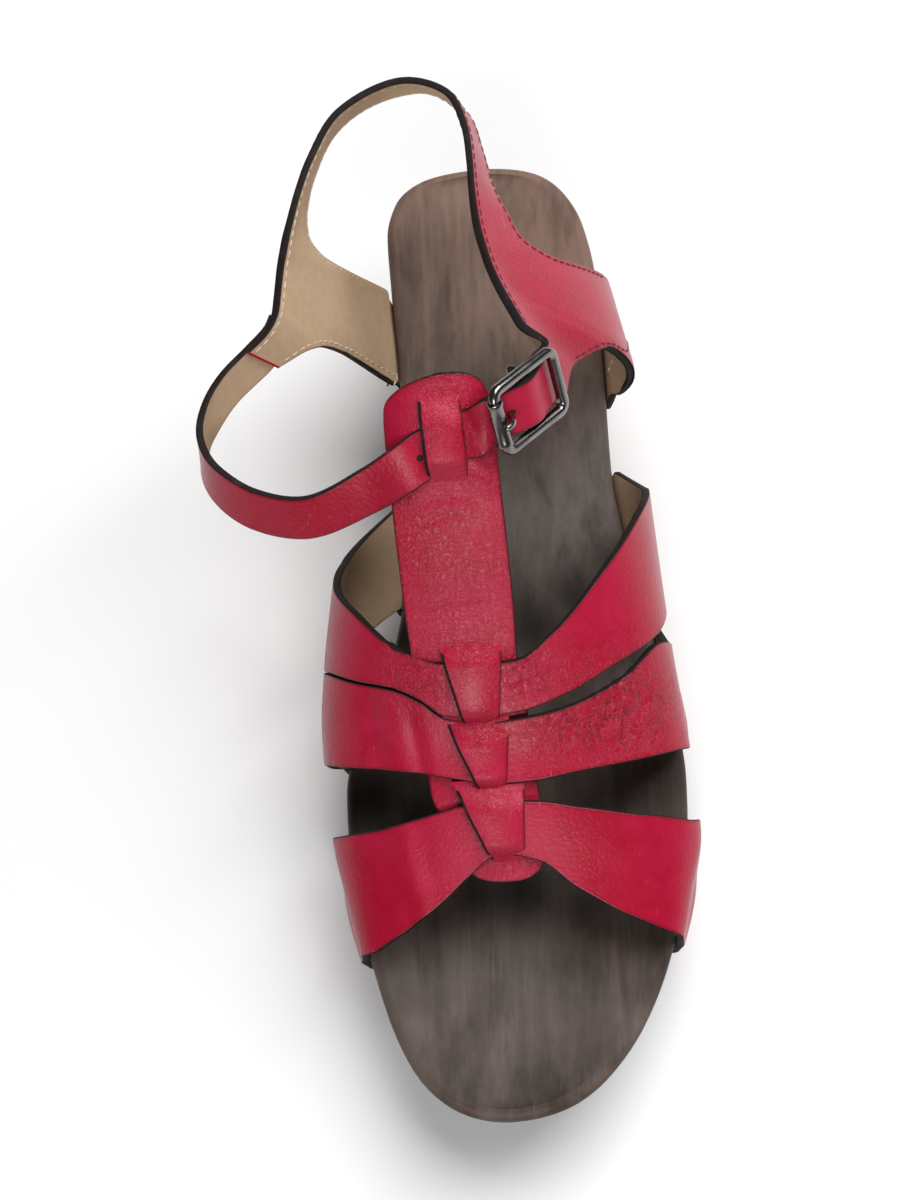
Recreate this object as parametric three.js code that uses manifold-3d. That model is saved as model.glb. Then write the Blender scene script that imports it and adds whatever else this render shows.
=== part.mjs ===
import * as THREE from "three";
import { mergeVertices } from "three/addons/utils/BufferGeometryUtils.js";
import Module from "manifold-3d";

const wasm = await Module();
wasm.setup();

// Platform sandal, left shoe. Millimetres: -Y toe, +Y heel, +X outer side, -X inner side, +Z up.

// Wooden sole
const SOLE_LENGTH = 268;
const EDGE_RADIUS = 3;
const FOOTBED_DISH = 1.8;
const FOOT_CHAMFER = 1;
const SOLE_STATIONS = 40;
const TOP_STRIPS = 5;

// Leather
const UPPER_WALL = 2.2;
const QUARTER_WALL = 2.4;
const ANKLE_WALL = 2.0;
const ANKLE_WIDTH = 12.4;
const FOLD_WALL = 1.3;
const GAP = 0.3;

// Slots in the sole's side wall
const SLOT_DEPTH = 11;
const SLOT_REACH = 6;
const SLOT_BEND = 2.6;
const SIDE_GAP = 0.45;

// Buckle
const BUCKLE_HALF_LENGTH = 11.4;
const BUCKLE_HALF_WIDTH = 8.5;
const BUCKLE_WIRE = 1.4;
const BUCKLE_CORNER = 2.4;
const CENTRE_BAR_DROP = 3.6;
const CENTRE_BAR_WIRE = 1.1;
const ROLLER_OUTER = 2.25;
const ROLLER_LENGTH = 12.2;
const PRONG_WIRE = 0.9;
const BUCKLE_CENTRE = new THREE.Vector3(12.9, 29.2, 119.4);
const BUCKLE_ALONG = new THREE.Vector3(0.63, 0.69, -0.36).normalize();
const BUCKLE_ACROSS = acrossOf(new THREE.Vector3(-0.15, 0.57, 0.8), BUCKLE_ALONG);
const BUCKLE_OUT = new THREE.Vector3().crossVectors(BUCKLE_ALONG, BUCKLE_ACROSS);

// Plan of the sole: how far the top edge reaches to the inner and the outer side
const OUTLINE = table("y inner outer", [
  [134, 0, 0],
  [131, -19, 15.2],
  [124, -26.6, 22.8],
  [114, -29, 27.4],
  [96, -28.1, 30.4],
  [70, -26.5, 31.3],
  [45, -26.4, 31.9],
  [20, -27.2, 36],
  [0, -31, 41],
  [-20, -39.8, 45.8],
  [-42, -45.6, 48.2],
  [-70, -43.8, 46.8],
  [-93, -38, 40.8],
  [-110, -32.4, 33.3],
  [-122, -26, 24.6],
  [-130, -17.4, 14.6],
  [-134, -3, -3],
]);

// Side view of the sole: footbed, underside, and how far the wall draws in on its way down
const PROFILE = table("y top under inset", [
  [134, 62, 0, 8],
  [100, 59.5, 0, 6.5],
  [67, 53, 0, 6],
  [59, 50.6, 30, 5],
  [42, 45.1, 27.5, 4],
  [20, 38, 13, 3.5],
  [4, 33.3, 1.5, 3.5],
  [-6, 31.2, 0, 3.5],
  [-50, 27.5, 0, 4],
  [-76, 28, 0, 5],
  [-110, 30, 6, 8],
  [-134, 33, 14, 11],
]);

// The last over the forefoot: line of the crest, and the widest line on each side
const LAST = table("y ridge crest girth inner outer", [
  [-92, -3, 45, 33, -39, 43],
  [-76, -3, 52, 34, -43, 46.6],
  [-60, -2, 60, 36.5, -46.5, 50],
  [-45, -4, 67, 40, -48, 49],
  [-31, -6.5, 77, 44, -48.5, 47.4],
  [-15, -7.5, 89.5, 49, -47, 45.2],
  [0, -8, 101.5, 53, -44.5, 43.6],
  [15, -8.5, 112.8, 57.5, -41.5, 42.2],
  [36, -9, 126.7, 61.5, -37, 40.4],
]);

// Cross straps: y of each strap's front and back edge, by the share of the way across the last
const STRAP_EDGES = table("share frontToe frontHeel middleToe middleHeel rearToe rearHeel", [
  [0, -89.5, -57.5, -38.5, -14.6, -13.5, 14],
  [0.12, -90, -59.5, -42, -19.6, -19.2, 1],
  [0.25, -87, -60.5, -45.5, -25.8, -25, -10.4],
  [0.35, -82, -59.2, -48.2, -30.8, -30, -20],
  [0.44, -74.6, -57.1, -51, -37.4, -36.6, -24.7],
  [0.51, -69.2, -56.6, -52.6, -38.2, -37, -25.6],
  [0.57, -70.8, -56.8, -52, -37.4, -36, -25],
  [0.64, -77.4, -58.2, -49.9, -35, -32.4, -18.5],
  [0.75, -83.9, -59.3, -46.5, -27.7, -24, -3],
  [0.88, -87.3, -59, -42, -16, -14, 15.5],
  [1, -88.2, -57, -38.5, -11.5, -2.5, 30],
]);

// T-strap from the rounded tab at the toe to its rounded top: centre, half width, depth under the crest
const T_STRAP = table("y x half under", [
  [-75.9, -0.4, 4.6, 2.1],
  [-74.9, -0.4, 7.8, 2.1],
  [-72.2, -0.6, 10.6, 2.1],
  [-64, -2, 12.4, 2.1],
  [-54, -4.8, 14, 2.1],
  [-38, -6.4, 14, 2.1],
  [-29, -7.4, 13.8, 2.1],
  [-21.5, -7.8, 13.6, 0.2],
  [-15, -8, 13.9, 0],
  [0, -8.7, 14, 0],
  [16, -9.5, 13.7, 0],
  [28, -10.2, 12.9, 0],
  [32, -9.9, 11.8, 0],
  [34.1, -9.5, 9.6, 0],
  [34.9, -9.2, 6.2, 0],
]);
const T_CROWN = 1.6;

// Bars of the slit T-strap that run over the cross straps; the last one keeps the ankle strap
const BARS = table("heelY heelX heelHalf toeY toeX toeHalf raise", [
  [-21, -6.2, 8.6, -40, -4.2, 4.1, 2.3],
  [-36, -5.8, 8.6, -55.5, -2.2, 2.9, 2.3],
  [-51.5, -3.8, 9.4, -71.5, 0.8, 3.9, 2.3],
  [32, -9.6, 4.9, 10.5, -8, 4.9, 4.1],
]);
const BAR_SINK = 0.7;
const BAR_RAMP = 3.4;
const KEEPER_SLIT = 0.7;

// Heel quarter from its inner tip round the heel to the outer side: top edge, the y of the point on
// the sole's edge below it, how far the fall leans out past that edge, how far down the leather reaches
// and how far the fall bows out
const LOOP = table("x y z footY lean depth bow", [
  [-60.5, 53.5, 107.5, 61, 0, 14, 1.2],
  [-55.5, 58.6, 108.5, 64, 0, 17, 1.2],
  [-53.2, 63, 109.4, 66.5, 0, 23, 1.2],
  [-52.3, 68, 110.6, 69, 0, 38, 1.2],
  [-51.7, 71.5, 112, 72, 0, 80, 1.2],
  [-51, 75.5, 113.4, 84, 0, 80, 1.2],
  [-50.1, 79, 114.8, 96, 0, 80, 1.2],
  [-49.2, 82.5, 116, 101, 3, 26, 1.2],
  [-48, 86.4, 117.2, 104, 8, 17, 1.2],
  [-45.6, 94, 119.1, 108, 14, 15, 1.2],
  [-42, 103.5, 120.4, 114, 17, 15, 1.2],
  [-34.5, 116, 121.6, 124, 17, 15, 1.2],
  [-18, 124, 122, 134, 14, 15, 0],
  [-6, 119.8, 121.9, 127, -12, 15, 1.2],
  [-1.6, 110, 121.4, 113, -19, 15, 1.2],
  [-0.4, 99, 120.5, 105, -14, 15, 1.2],
  [-0.2, 92, 119.9, 104, -5, 15.2, 1.2],
  [0.2, 86, 119.4, 103.8, 0, 17, 2],
  [1, 79.6, 118.9, 103.2, 0, 18.4, 4],
  [2.3, 73.9, 118.4, 99, 0, 27, 6.5],
  [3.6, 69.2, 117.9, 93, 0, 72, 8.5],
  [5.6, 64, 117.4, 63.5, 0, 72, 14.2],
  [6.6, 61.8, 117.2, 61, 0, 36.5, 14],
  [11.2, 52.2, 117, 55, 0, 26.5, 6],
]);
// Rows of the sling that run straight along the outer side
const SLING_STRAIGHT = { from: 14, to: 16 };
const BOW_PEAK = 5.38;
const BOW_POWER = 1.5;
const HEM_OVERLAP = 5;

// Branch of the outer quarter beside the buckle: along it, height over it, reach above and below its middle
const BRANCH = table("along out top low", [
  [17, -7, 6.3, 11.5],
  [11, -6, 6, 8],
  [6.5, -4.3, 6, 6.2],
  [3, -2.3, 6, 6],
]);
const FOLD_HALF = 6;

// Free part of the ankle strap: centre line, and how far its face turns up
const ANKLE = table("x y z lean", [
  [-66.4, 47.4, 100.4, -12],
  [-70.8, 41, 99.2, -8],
  [-73.4, 33.5, 98.4, 2],
  [-72.2, 25.5, 98.8, 14],
  [-67.4, 18.4, 99.7, 24],
  [-59, 12.2, 100.4, 30],
  [-45, 8.2, 102.8, 33],
  [-28.5, 11.8, 109.4, 43],
]);

// Where the ankle strap crosses the T-strap: height over the T-strap's middle
const CROSSING = table("x y over", [
  [-18.5, 16.4, 2.5],
  [-12.6, 18.9, 0.3],
  [-5.2, 21.6, 0.4],
  [-0.6, 22.9, 2],
]);
const CROSSING_ALONG = new THREE.Vector3(0.94, 0.34, 0.1).normalize();

// The ankle strap in the buckle: under the roller, over the centre bar, under the far bar
const THREADING = table("along out", [
  [-11.4, -4.3],
  [-5.5, -1.2],
  [0, 0.9],
  [6, -0.9],
  [11.4, -3.3],
  [14.2, -4],
]);
const PRONG_HOLE_ALONG = -5.5;
const PRONG_HOLE = 2;

// Rows of a table as objects with the column names as keys
function table(columns, rows) {
  const names = columns.split(" ");
  return rows.map((row) => Object.fromEntries(names.map((name, k) => [name, row[k]])));
}

function vec(x, y, z) {
  return new THREE.Vector3(x, y, z);
}

function mix(a, b, t) {
  return a + (b - a) * t;
}

// Unit part of a direction that is square to another
function acrossOf(direction, along) {
  return direction.clone().addScaledVector(along, -direction.dot(along)).normalize();
}

// Smooth curve through the rows of a table that never overshoots them
function curve(rows, key, value) {
  const sorted = [...rows].sort((a, b) => a[key] - b[key]);
  const at = sorted.map((row) => row[key]);
  const out = sorted.map((row) => row[value]);
  const slope = at.slice(1).map((x, i) => (out[i + 1] - out[i]) / (x - at[i]));
  const tangent = at.map((x, i) => {
    const before = slope[Math.max(i - 1, 0)];
    const after = slope[Math.min(i, slope.length - 1)];
    return before * after <= 0 ? 0 : (2 * before * after) / (before + after);
  });
  return (x) => {
    const t = THREE.MathUtils.clamp(x, at[0], at[at.length - 1]);
    let i = 0;
    while (i < at.length - 2 && t > at[i + 1]) i += 1;
    const span = at[i + 1] - at[i];
    const s = (t - at[i]) / span;
    const a = out[i] * (1 + 2 * s) * (1 - s) ** 2 + out[i + 1] * s * s * (3 - 2 * s);
    return a + span * (tangent[i] * s * (1 - s) ** 2 - tangent[i + 1] * s * s * (1 - s));
  };
}

// Closed body from corner points and triangles
function body(points, triangles) {
  const geometry = new THREE.BufferGeometry().setFromPoints(points);
  geometry.setIndex(triangles.flat());
  return closed(geometry);
}

// Closed body from a geometry, its corners joined
function closed(geometry) {
  geometry.deleteAttribute("normal");
  geometry.deleteAttribute("uv");
  const merged = mergeVertices(geometry, 1e-4);
  const index = merged.index.array;
  const kept = [];
  for (let k = 0; k < index.length; k += 3) {
    const [a, b, c] = [index[k], index[k + 1], index[k + 2]];
    if (a !== b && b !== c && c !== a) kept.push(a, b, c);
  }
  const corner = (k) => vec().fromBufferAttribute(merged.attributes.position, kept[k]);
  let volume = 0;
  for (let k = 0; k < kept.length; k += 3) volume += corner(k).dot(corner(k + 1).cross(corner(k + 2)));
  if (volume < 0) kept.reverse();
  const mesh = new wasm.Mesh({
    numProp: 3,
    vertProperties: new Float32Array(merged.attributes.position.array),
    triVerts: new Uint32Array(kept),
  });
  return new wasm.Manifold(mesh);
}

// Leather wall about a grid of points; grow widens it past its borders, pare thins its last rows
function wall(grid, thickness, grow = 0, pare = () => thickness) {
  const rows = grid.length;
  const cols = grid[0].length;
  const p = grid.map((row) => row.map((point) => point.clone()));
  const push = (from, to) => from.clone().sub(to).normalize().multiplyScalar(grow);
  if (grow > 0) {
    for (let i = 0; i < rows; i += 1) {
      p[i][0].add(push(grid[i][0], grid[i][1]));
      p[i][cols - 1].add(push(grid[i][cols - 1], grid[i][cols - 2]));
    }
    for (let j = 0; j < cols; j += 1) {
      p[0][j].add(push(grid[0][j], grid[1][j]));
      p[rows - 1][j].add(push(grid[rows - 1][j], grid[rows - 2][j]));
    }
  }
  const normal = (i, j) => {
    const along = p[Math.min(i + 1, rows - 1)][j].clone().sub(p[Math.max(i - 1, 0)][j]);
    const across = p[i][Math.min(j + 1, cols - 1)].clone().sub(p[i][Math.max(j - 1, 0)]);
    return along.cross(across).normalize();
  };
  const points = [];
  for (const side of [0.5, -0.5]) {
    for (let i = 0; i < rows; i += 1) {
      for (let j = 0; j < cols; j += 1) {
        points.push(p[i][j].clone().addScaledVector(normal(i, j), side * pare(i)));
      }
    }
  }
  const outer = (i, j) => i * cols + j;
  const inner = (i, j) => rows * cols + i * cols + j;
  const triangles = [];
  const quad = (a, b, c, d) => triangles.push([a, b, c], [a, c, d]);
  for (let i = 0; i < rows - 1; i += 1) {
    for (let j = 0; j < cols - 1; j += 1) {
      quad(outer(i, j), outer(i + 1, j), outer(i + 1, j + 1), outer(i, j + 1));
      quad(inner(i, j), inner(i, j + 1), inner(i + 1, j + 1), inner(i + 1, j));
    }
    quad(outer(i, 0), inner(i, 0), inner(i + 1, 0), outer(i + 1, 0));
    quad(outer(i + 1, cols - 1), inner(i + 1, cols - 1), inner(i, cols - 1), outer(i, cols - 1));
  }
  for (let j = 0; j < cols - 1; j += 1) {
    quad(outer(0, j + 1), inner(0, j + 1), inner(0, j), outer(0, j));
    quad(outer(rows - 1, j), inner(rows - 1, j), inner(rows - 1, j + 1), outer(rows - 1, j + 1));
  }
  return body(points, triangles);
}

// Wire along a path of points, with a rounded section
function wire(path, radius, sides = 10) {
  const shape = new THREE.Shape();
  shape.absarc(0, 0, radius, 0, Math.PI * 2);
  const geometry = new THREE.ExtrudeGeometry(shape, {
    extrudePath: path,
    steps: path.wireSteps,
    curveSegments: sides,
    bevelEnabled: false,
  });
  return closed(geometry);
}

function straight(a, b) {
  const path = new THREE.LineCurve3(a, b);
  path.wireSteps = 1;
  return path;
}

const soleHalf = SOLE_LENGTH / 2;
const turnOf = (y) => Math.acos(THREE.MathUtils.clamp(y / soleHalf, -1, 1));
const outlineRows = OUTLINE.map((row) => ({ ...row, turn: turnOf(row.y) }));
const innerEdge = curve(outlineRows, "turn", "inner");
const outerEdge = curve(outlineRows, "turn", "outer");
const topAt = curve(PROFILE, "y", "top");
const underAt = curve(PROFILE, "y", "under");
const insetAt = curve(PROFILE, "y", "inset");

// Plan point of the sole's edge on a side (-1 inner, +1 outer), drawn in square to the edge
function edgePoint(side, turn, inset) {
  const edge = side < 0 ? innerEdge : outerEdge;
  const plan = (t) => new THREE.Vector2(edge(t), soleHalf * Math.cos(t));
  const step = 0.01;
  const along = plan(Math.min(turn + step, Math.PI)).sub(plan(Math.max(turn - step, 0)));
  const inward = new THREE.Vector2(along.y, -along.x).multiplyScalar(side).normalize();
  const atTip = Math.min(turn, Math.PI - turn) < 1e-6;
  if (atTip) inward.set(0, -Math.sign(Math.cos(turn)));
  return plan(turn).addScaledVector(inward, inset);
}

function edgeX(side, y) {
  return (side < 0 ? innerEdge : outerEdge)(turnOf(y));
}

// x of the side wall at a depth below the footbed's edge
function wallX(side, y, depth) {
  const height = topAt(y) - underAt(y);
  const share = Math.max(depth - EDGE_RADIUS, 0) / (height - EDGE_RADIUS);
  return edgeX(side, y) - side * insetAt(y) * share;
}

// Carved block: rounded top edge, dished footbed, drawn-in wall, arch, heel and toe spring
function soleBlock() {
  const turns = Array.from({ length: SOLE_STATIONS + 1 }, (_, i) => (Math.PI * i) / SOLE_STATIONS);
  turns.push(turnOf(67), turnOf(59));
  turns.sort((a, b) => a - b);
  const ringAt = (turn) => {
    const sideOf = (side) => {
      const y = soleHalf * Math.cos(turn);
      const inset = insetAt(y);
      const steps = [
        { inset: EDGE_RADIUS, drop: 0 },
        { inset: EDGE_RADIUS * 0.3, drop: EDGE_RADIUS * 0.3 },
        { inset: 0, drop: EDGE_RADIUS },
        { inset: inset, lift: FOOT_CHAMFER },
        { inset: inset + FOOT_CHAMFER, lift: 0 },
      ];
      return steps.map((step) => {
        const plan = edgePoint(side, turn, step.inset);
        const z = step.drop === undefined ? underAt(plan.y) + step.lift : topAt(plan.y) - step.drop;
        return vec(plan.x, plan.y, z);
      });
    };
    const inner = sideOf(-1);
    const outer = sideOf(1);
    const top = [];
    const under = [];
    for (let k = 1; k < TOP_STRIPS; k += 1) {
      const share = k / TOP_STRIPS;
      const across = inner[0].clone().lerp(outer[0], share);
      const width = Math.min(inner[0].distanceTo(outer[0]) / 40, 1);
      across.z = topAt(across.y) - FOOTBED_DISH * width * (1 - (2 * share - 1) ** 2);
      top.push(across);
      const below = inner[4].clone().lerp(outer[4], share);
      below.z = underAt(below.y);
      under.push(below);
    }
    return [...inner.slice().reverse(), ...top, ...outer, ...under.reverse()];
  };
  const rings = turns.map(ringAt);
  const size = rings[0].length;
  const triangles = [];
  for (let i = 0; i < rings.length - 1; i += 1) {
    for (let k = 0; k < size; k += 1) {
      const next = (k + 1) % size;
      const [a, b, c, d] = [i * size + k, i * size + next, (i + 1) * size + next, (i + 1) * size + k];
      triangles.push([a, b, c], [a, c, d]);
    }
  }
  return body(rings.flat(), triangles);
}

// Way of a strap from beside the sole's edge down the wall and into its slot
function slotPath(side, y, thickness, lean = 0) {
  const clear = SIDE_GAP + thickness / 2;
  const slotZ = topAt(y) - SLOT_DEPTH;
  const x = wallX(side, y, SLOT_DEPTH - SLOT_BEND) + side * clear;
  const path = [vec(edgeX(side, y) + side * (clear + lean), y, topAt(y) - EDGE_RADIUS)];
  for (let k = 0; k <= 3; k += 1) {
    const a = (Math.PI / 2) * (k / 3);
    path.push(vec(x - side * SLOT_BEND * (1 - Math.cos(a)), y, slotZ + SLOT_BEND * (1 - Math.sin(a))));
  }
  path.push(vec(x - side * (SLOT_BEND + SLOT_REACH), y, slotZ));
  return path;
}

const lastCurves = Object.fromEntries(
  ["ridge", "crest", "girth", "inner", "outer"].map((name) => [name, curve(LAST, "y", name)]),
);

// Point of the last at a y and a share of the way from the inner to the outer side
function lastPoint(y, share) {
  const turn = (share - 0.5) * Math.PI;
  const ridge = lastCurves.ridge(y);
  const reach = turn < 0 ? ridge - lastCurves.inner(y) : lastCurves.outer(y) - ridge;
  const girth = lastCurves.girth(y);
  const rise = lastCurves.crest(y) - girth;
  return vec(ridge + reach * Math.sin(turn), y, girth + rise * Math.cos(turn));
}

// How far back the ends of a strap sweep between the last and the sole, on the inner and the outer side
const STRAP_SWEEP = { front: [0, 0], middle: [4, 12], rear: [24, 13.5] };
const STRAP_ACROSS = 20;
const STRAP_ALONG = 3;
const SKIRT_STEPS = 3;

// Grid of a cross strap from slot to slot: over the last, then in to the sole's edge
function strapGrid(name) {
  const toeEdge = curve(STRAP_EDGES, "share", name + "Toe");
  const heelEdge = curve(STRAP_EDGES, "share", name + "Heel");
  const columns = [];
  for (let j = 0; j <= STRAP_ALONG; j += 1) {
    const yAt = (share) => mix(heelEdge(share), toeEdge(share), j / STRAP_ALONG);
    const skirt = (side, share) => {
      const y = yAt(share);
      const girth = lastPoint(y, share);
      const sweep = STRAP_SWEEP[name][side < 0 ? 0 : 1];
      const slot = slotPath(side, y + sweep, UPPER_WALL);
      const bend = vec(girth.x, y + sweep * 0.35, mix(slot[0].z, girth.z, 0.4));
      const drop = new THREE.QuadraticBezierCurve3(girth, bend, slot[0]);
      return [...drop.getPoints(SKIRT_STEPS + 1).slice(1, -1), ...slot];
    };
    const over = [];
    for (let k = 0; k <= STRAP_ACROSS; k += 1) {
      const share = k / STRAP_ACROSS;
      over.push(lastPoint(yAt(share), share));
    }
    columns.push([...skirt(-1, 0).reverse(), ...over, ...skirt(1, 1)]);
  }
  return columns[0].map((_, i) => columns.map((column) => column[i]));
}

const SLOT_POINTS = 6;

// Room for both ends of a strap in the sole, a gap larger all round
function slotCutters(grid, thickness) {
  const ends = [grid.slice(0, SLOT_POINTS), grid.slice(-SLOT_POINTS)];
  return ends.map((end) => wall(end, thickness + 2 * GAP, GAP));
}

const tCurves = Object.fromEntries(["x", "half", "under"].map((name) => [name, curve(T_STRAP, "y", name)]));

// Point on the T-strap's middle, at a share of its half width
function tPoint(y, share, raise = 0) {
  const x = tCurves.x(y) + share * tCurves.half(y);
  const slope = (lastCurves.crest(y + 1) - lastCurves.crest(y - 1)) / 2;
  const out = vec(0, -slope, 1).normalize();
  const middle = vec(x, y, lastCurves.crest(y) - T_CROWN * share * share);
  return middle.addScaledVector(out, raise - tCurves.under(y));
}

function tGrid() {
  const ends = T_STRAP.map((row) => row.y);
  const stops = [...new Set([...ends, -68, -59, -46, -33, -25, -8, 8, 22])].sort((a, b) => b - a);
  return stops.map((y) => [-1, -0.6, -0.2, 0.2, 0.6, 1].map((share) => tPoint(y, share)));
}

// Bar of the T-strap: tapered, raised in its middle, its ends sunk into the leather below
function barGrid(bar, raise = bar.raise, widen = 0) {
  const length = bar.heelY - bar.toeY;
  const steps = 8;
  const rows = [];
  for (let i = 0; i <= steps; i += 1) {
    const y = mix(bar.heelY, bar.toeY, i / steps);
    const fromEnd = Math.min(bar.heelY - y, y - bar.toeY);
    const ramp = THREE.MathUtils.smoothstep(fromEnd, 0, BAR_RAMP);
    const t = (bar.heelY - y) / length;
    const centre = mix(bar.heelX, bar.toeX, t);
    const half = mix(bar.heelHalf, bar.toeHalf, t) + widen;
    const lift = mix(-BAR_SINK, raise, ramp) + tCurves.under(y);
    rows.push([-1, 0, 1].map((share) => {
      const over = (centre + share * half - tCurves.x(y)) / tCurves.half(y);
      return tPoint(y, over, lift);
    }));
  }
  return rows;
}

const loopTop = new THREE.CatmullRomCurve3(LOOP.map((row) => vec(row.x, row.y, row.z)), false, "centripetal");
const loopRows = LOOP.map((row, index) => ({ ...row, index }));
const loopFoot = curve(loopRows, "index", "footY");
const loopLean = curve(loopRows, "index", "lean");
const loopDepth = curve(loopRows, "index", "depth");
const loopBow = curve(loopRows, "index", "bow");
const LOOP_LAST = LOOP.length - 1;
const LOOP_BACK = LOOP.findIndex((row) => row.footY === SOLE_LENGTH / 2);

// Ends of the quarter's fall: on its top edge and beside the sole's edge
function quarterFall(at) {
  const top = loopTop.getPoint(at / LOOP_LAST);
  const side = at < LOOP_BACK ? -1 : 1;
  const y = loopFoot(at);
  const clear = SIDE_GAP + QUARTER_WALL / 2;
  const lean = loopLean(at);
  const plan = edgePoint(side, turnOf(y), -clear - lean);
  return { side, top, lean, foot: vec(plan.x, plan.y, topAt(y) - EDGE_RADIUS) };
}

// Point of the quarter at a way down from its top edge
function quarterPoint(at, down) {
  const { side, top, foot } = quarterFall(at);
  const length = top.distanceTo(foot);
  const share = Math.min(down / length, 1);
  const bow = loopBow(at) * BOW_PEAK * share ** BOW_POWER * (1 - share);
  return top.clone().lerp(foot, share).add(vec(side * bow, 0, 0));
}

const QUARTER_DOWN = [0, 0.15, 0.32, 0.5, 0.68, 0.85, 1];

// Depth of the quarter's lower edge: a band, or all the way to the sole's edge
function quarterDepth(at) {
  const { top, foot } = quarterFall(at);
  return Math.min(loopDepth(at), top.distanceTo(foot));
}

function quarterGrid() {
  const stops = [];
  for (let row = 0; row < LOOP_LAST; row += 1) {
    stops.push(row);
    const straight = row >= SLING_STRAIGHT.from && row <= SLING_STRAIGHT.to;
    if (!straight) stops.push(row + 0.5);
  }
  stops.push(LOOP_LAST);
  const grid = stops.map((at) => {
    const depth = quarterDepth(at);
    return QUARTER_DOWN.map((share) => quarterPoint(at, share * depth));
  });
  const branch = BRANCH.map((row) => branchRow(row.along, row.out, row.top, row.low));
  return [...grid, ...branch, ...foldRows()];
}

function buckleFrame(along, across, out) {
  return BUCKLE_CENTRE.clone()
    .addScaledVector(BUCKLE_ALONG, along)
    .addScaledVector(BUCKLE_ACROSS, across)
    .addScaledVector(BUCKLE_OUT, out);
}

function branchRow(along, out, top, low) {
  return QUARTER_DOWN.map((share) => buckleFrame(along, mix(top, -low, share), out));
}

// The branch folded round the centre bar and back on the inside
function foldRows() {
  const radius = CENTRE_BAR_WIRE + 1.5 * GAP + FOLD_WALL / 2;
  const rows = [];
  for (let k = 0; k <= 6; k += 1) {
    const a = Math.PI * (k / 6);
    const out = -CENTRE_BAR_DROP + radius * Math.cos(a);
    rows.push(branchRow(-radius * Math.sin(a), out, FOLD_HALF, FOLD_HALF));
  }
  rows.push(branchRow(4, -CENTRE_BAR_DROP - radius - 1.2, FOLD_HALF, FOLD_HALF));
  return rows;
}

// Hem of a quarter: from the wall beside the sole into its slot
function hemGrid(fromRow, toRow) {
  const steps = 6;
  const columns = [];
  for (let k = 0; k <= steps; k += 1) {
    const at = mix(fromRow, toRow, k / steps);
    const { side, top, lean, foot } = quarterFall(at);
    const above = quarterPoint(at, top.distanceTo(foot) - HEM_OVERLAP);
    columns.push([above, ...slotPath(side, foot.y, QUARTER_WALL, lean)]);
  }
  return columns;
}

// Centre line and width direction of the ankle strap, from the inner quarter to the buckle
function ankleRows() {
  const rows = [];
  const offset = (QUARTER_WALL + ANKLE_WALL) / 2 + 1.5 * GAP;
  for (const at of [2.2, 1.1, 0]) {
    const top = quarterPoint(at, 0.6);
    const low = quarterPoint(at, ANKLE_WIDTH + 0.6);
    const along = quarterPoint(Math.max(at - 0.3, 0), 6).sub(quarterPoint(at + 0.3, 6));
    const across = acrossOf(top.clone().sub(low), along.clone().normalize());
    const out = along.clone().cross(across).normalize().multiplyScalar(offset);
    rows.push({ centre: top.add(low).multiplyScalar(0.5).add(out), across });
  }
  const free = ANKLE.map((row) => vec(row.x, row.y, row.z));
  ANKLE.forEach((row, i) => {
    const before = i === 0 ? rows[2].centre : free[i - 1];
    const after = i === free.length - 1 ? vec(CROSSING[0].x, CROSSING[0].y, row.z) : free[i + 1];
    const along = after.clone().sub(before).setZ(0).normalize();
    const outward = vec(along.y, -along.x, 0);
    const lean = THREE.MathUtils.degToRad(row.lean);
    const across = vec(0, 0, Math.cos(lean)).addScaledVector(outward, -Math.sin(lean));
    rows.push({ centre: free[i], across });
  });
  CROSSING.forEach((row) => {
    const share = (row.x - tCurves.x(row.y)) / tCurves.half(row.y);
    const on = tPoint(row.y, share);
    const slope = (lastCurves.crest(row.y + 1) - lastCurves.crest(row.y - 1)) / 2;
    const out = vec(0, -slope, 1).normalize();
    const across = acrossOf(vec(0, 1, slope), CROSSING_ALONG);
    rows.push({ centre: on.addScaledVector(out, row.over), across });
  });
  THREADING.forEach((row) => {
    rows.push({ centre: buckleFrame(row.along, 0, row.out), across: BUCKLE_ACROSS });
  });
  return rows;
}

function ankleGrid() {
  const rows = ankleRows();
  const edge = (side) => {
    const half = (side * ANKLE_WIDTH) / 2;
    const points = rows.map((row) => row.centre.clone().addScaledVector(row.across, half));
    return new THREE.CatmullRomCurve3(points, false, "centripetal");
  };
  const top = edge(1);
  const low = edge(-1);
  const steps = (rows.length - 1) * 4;
  const grid = [];
  for (let i = 0; i <= steps; i += 1) {
    const a = top.getPoint(i / steps);
    const b = low.getPoint(i / steps);
    grid.push([0, 0.5, 1].map((share) => a.clone().lerp(b, share)));
  }
  return grid;
}

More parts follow.
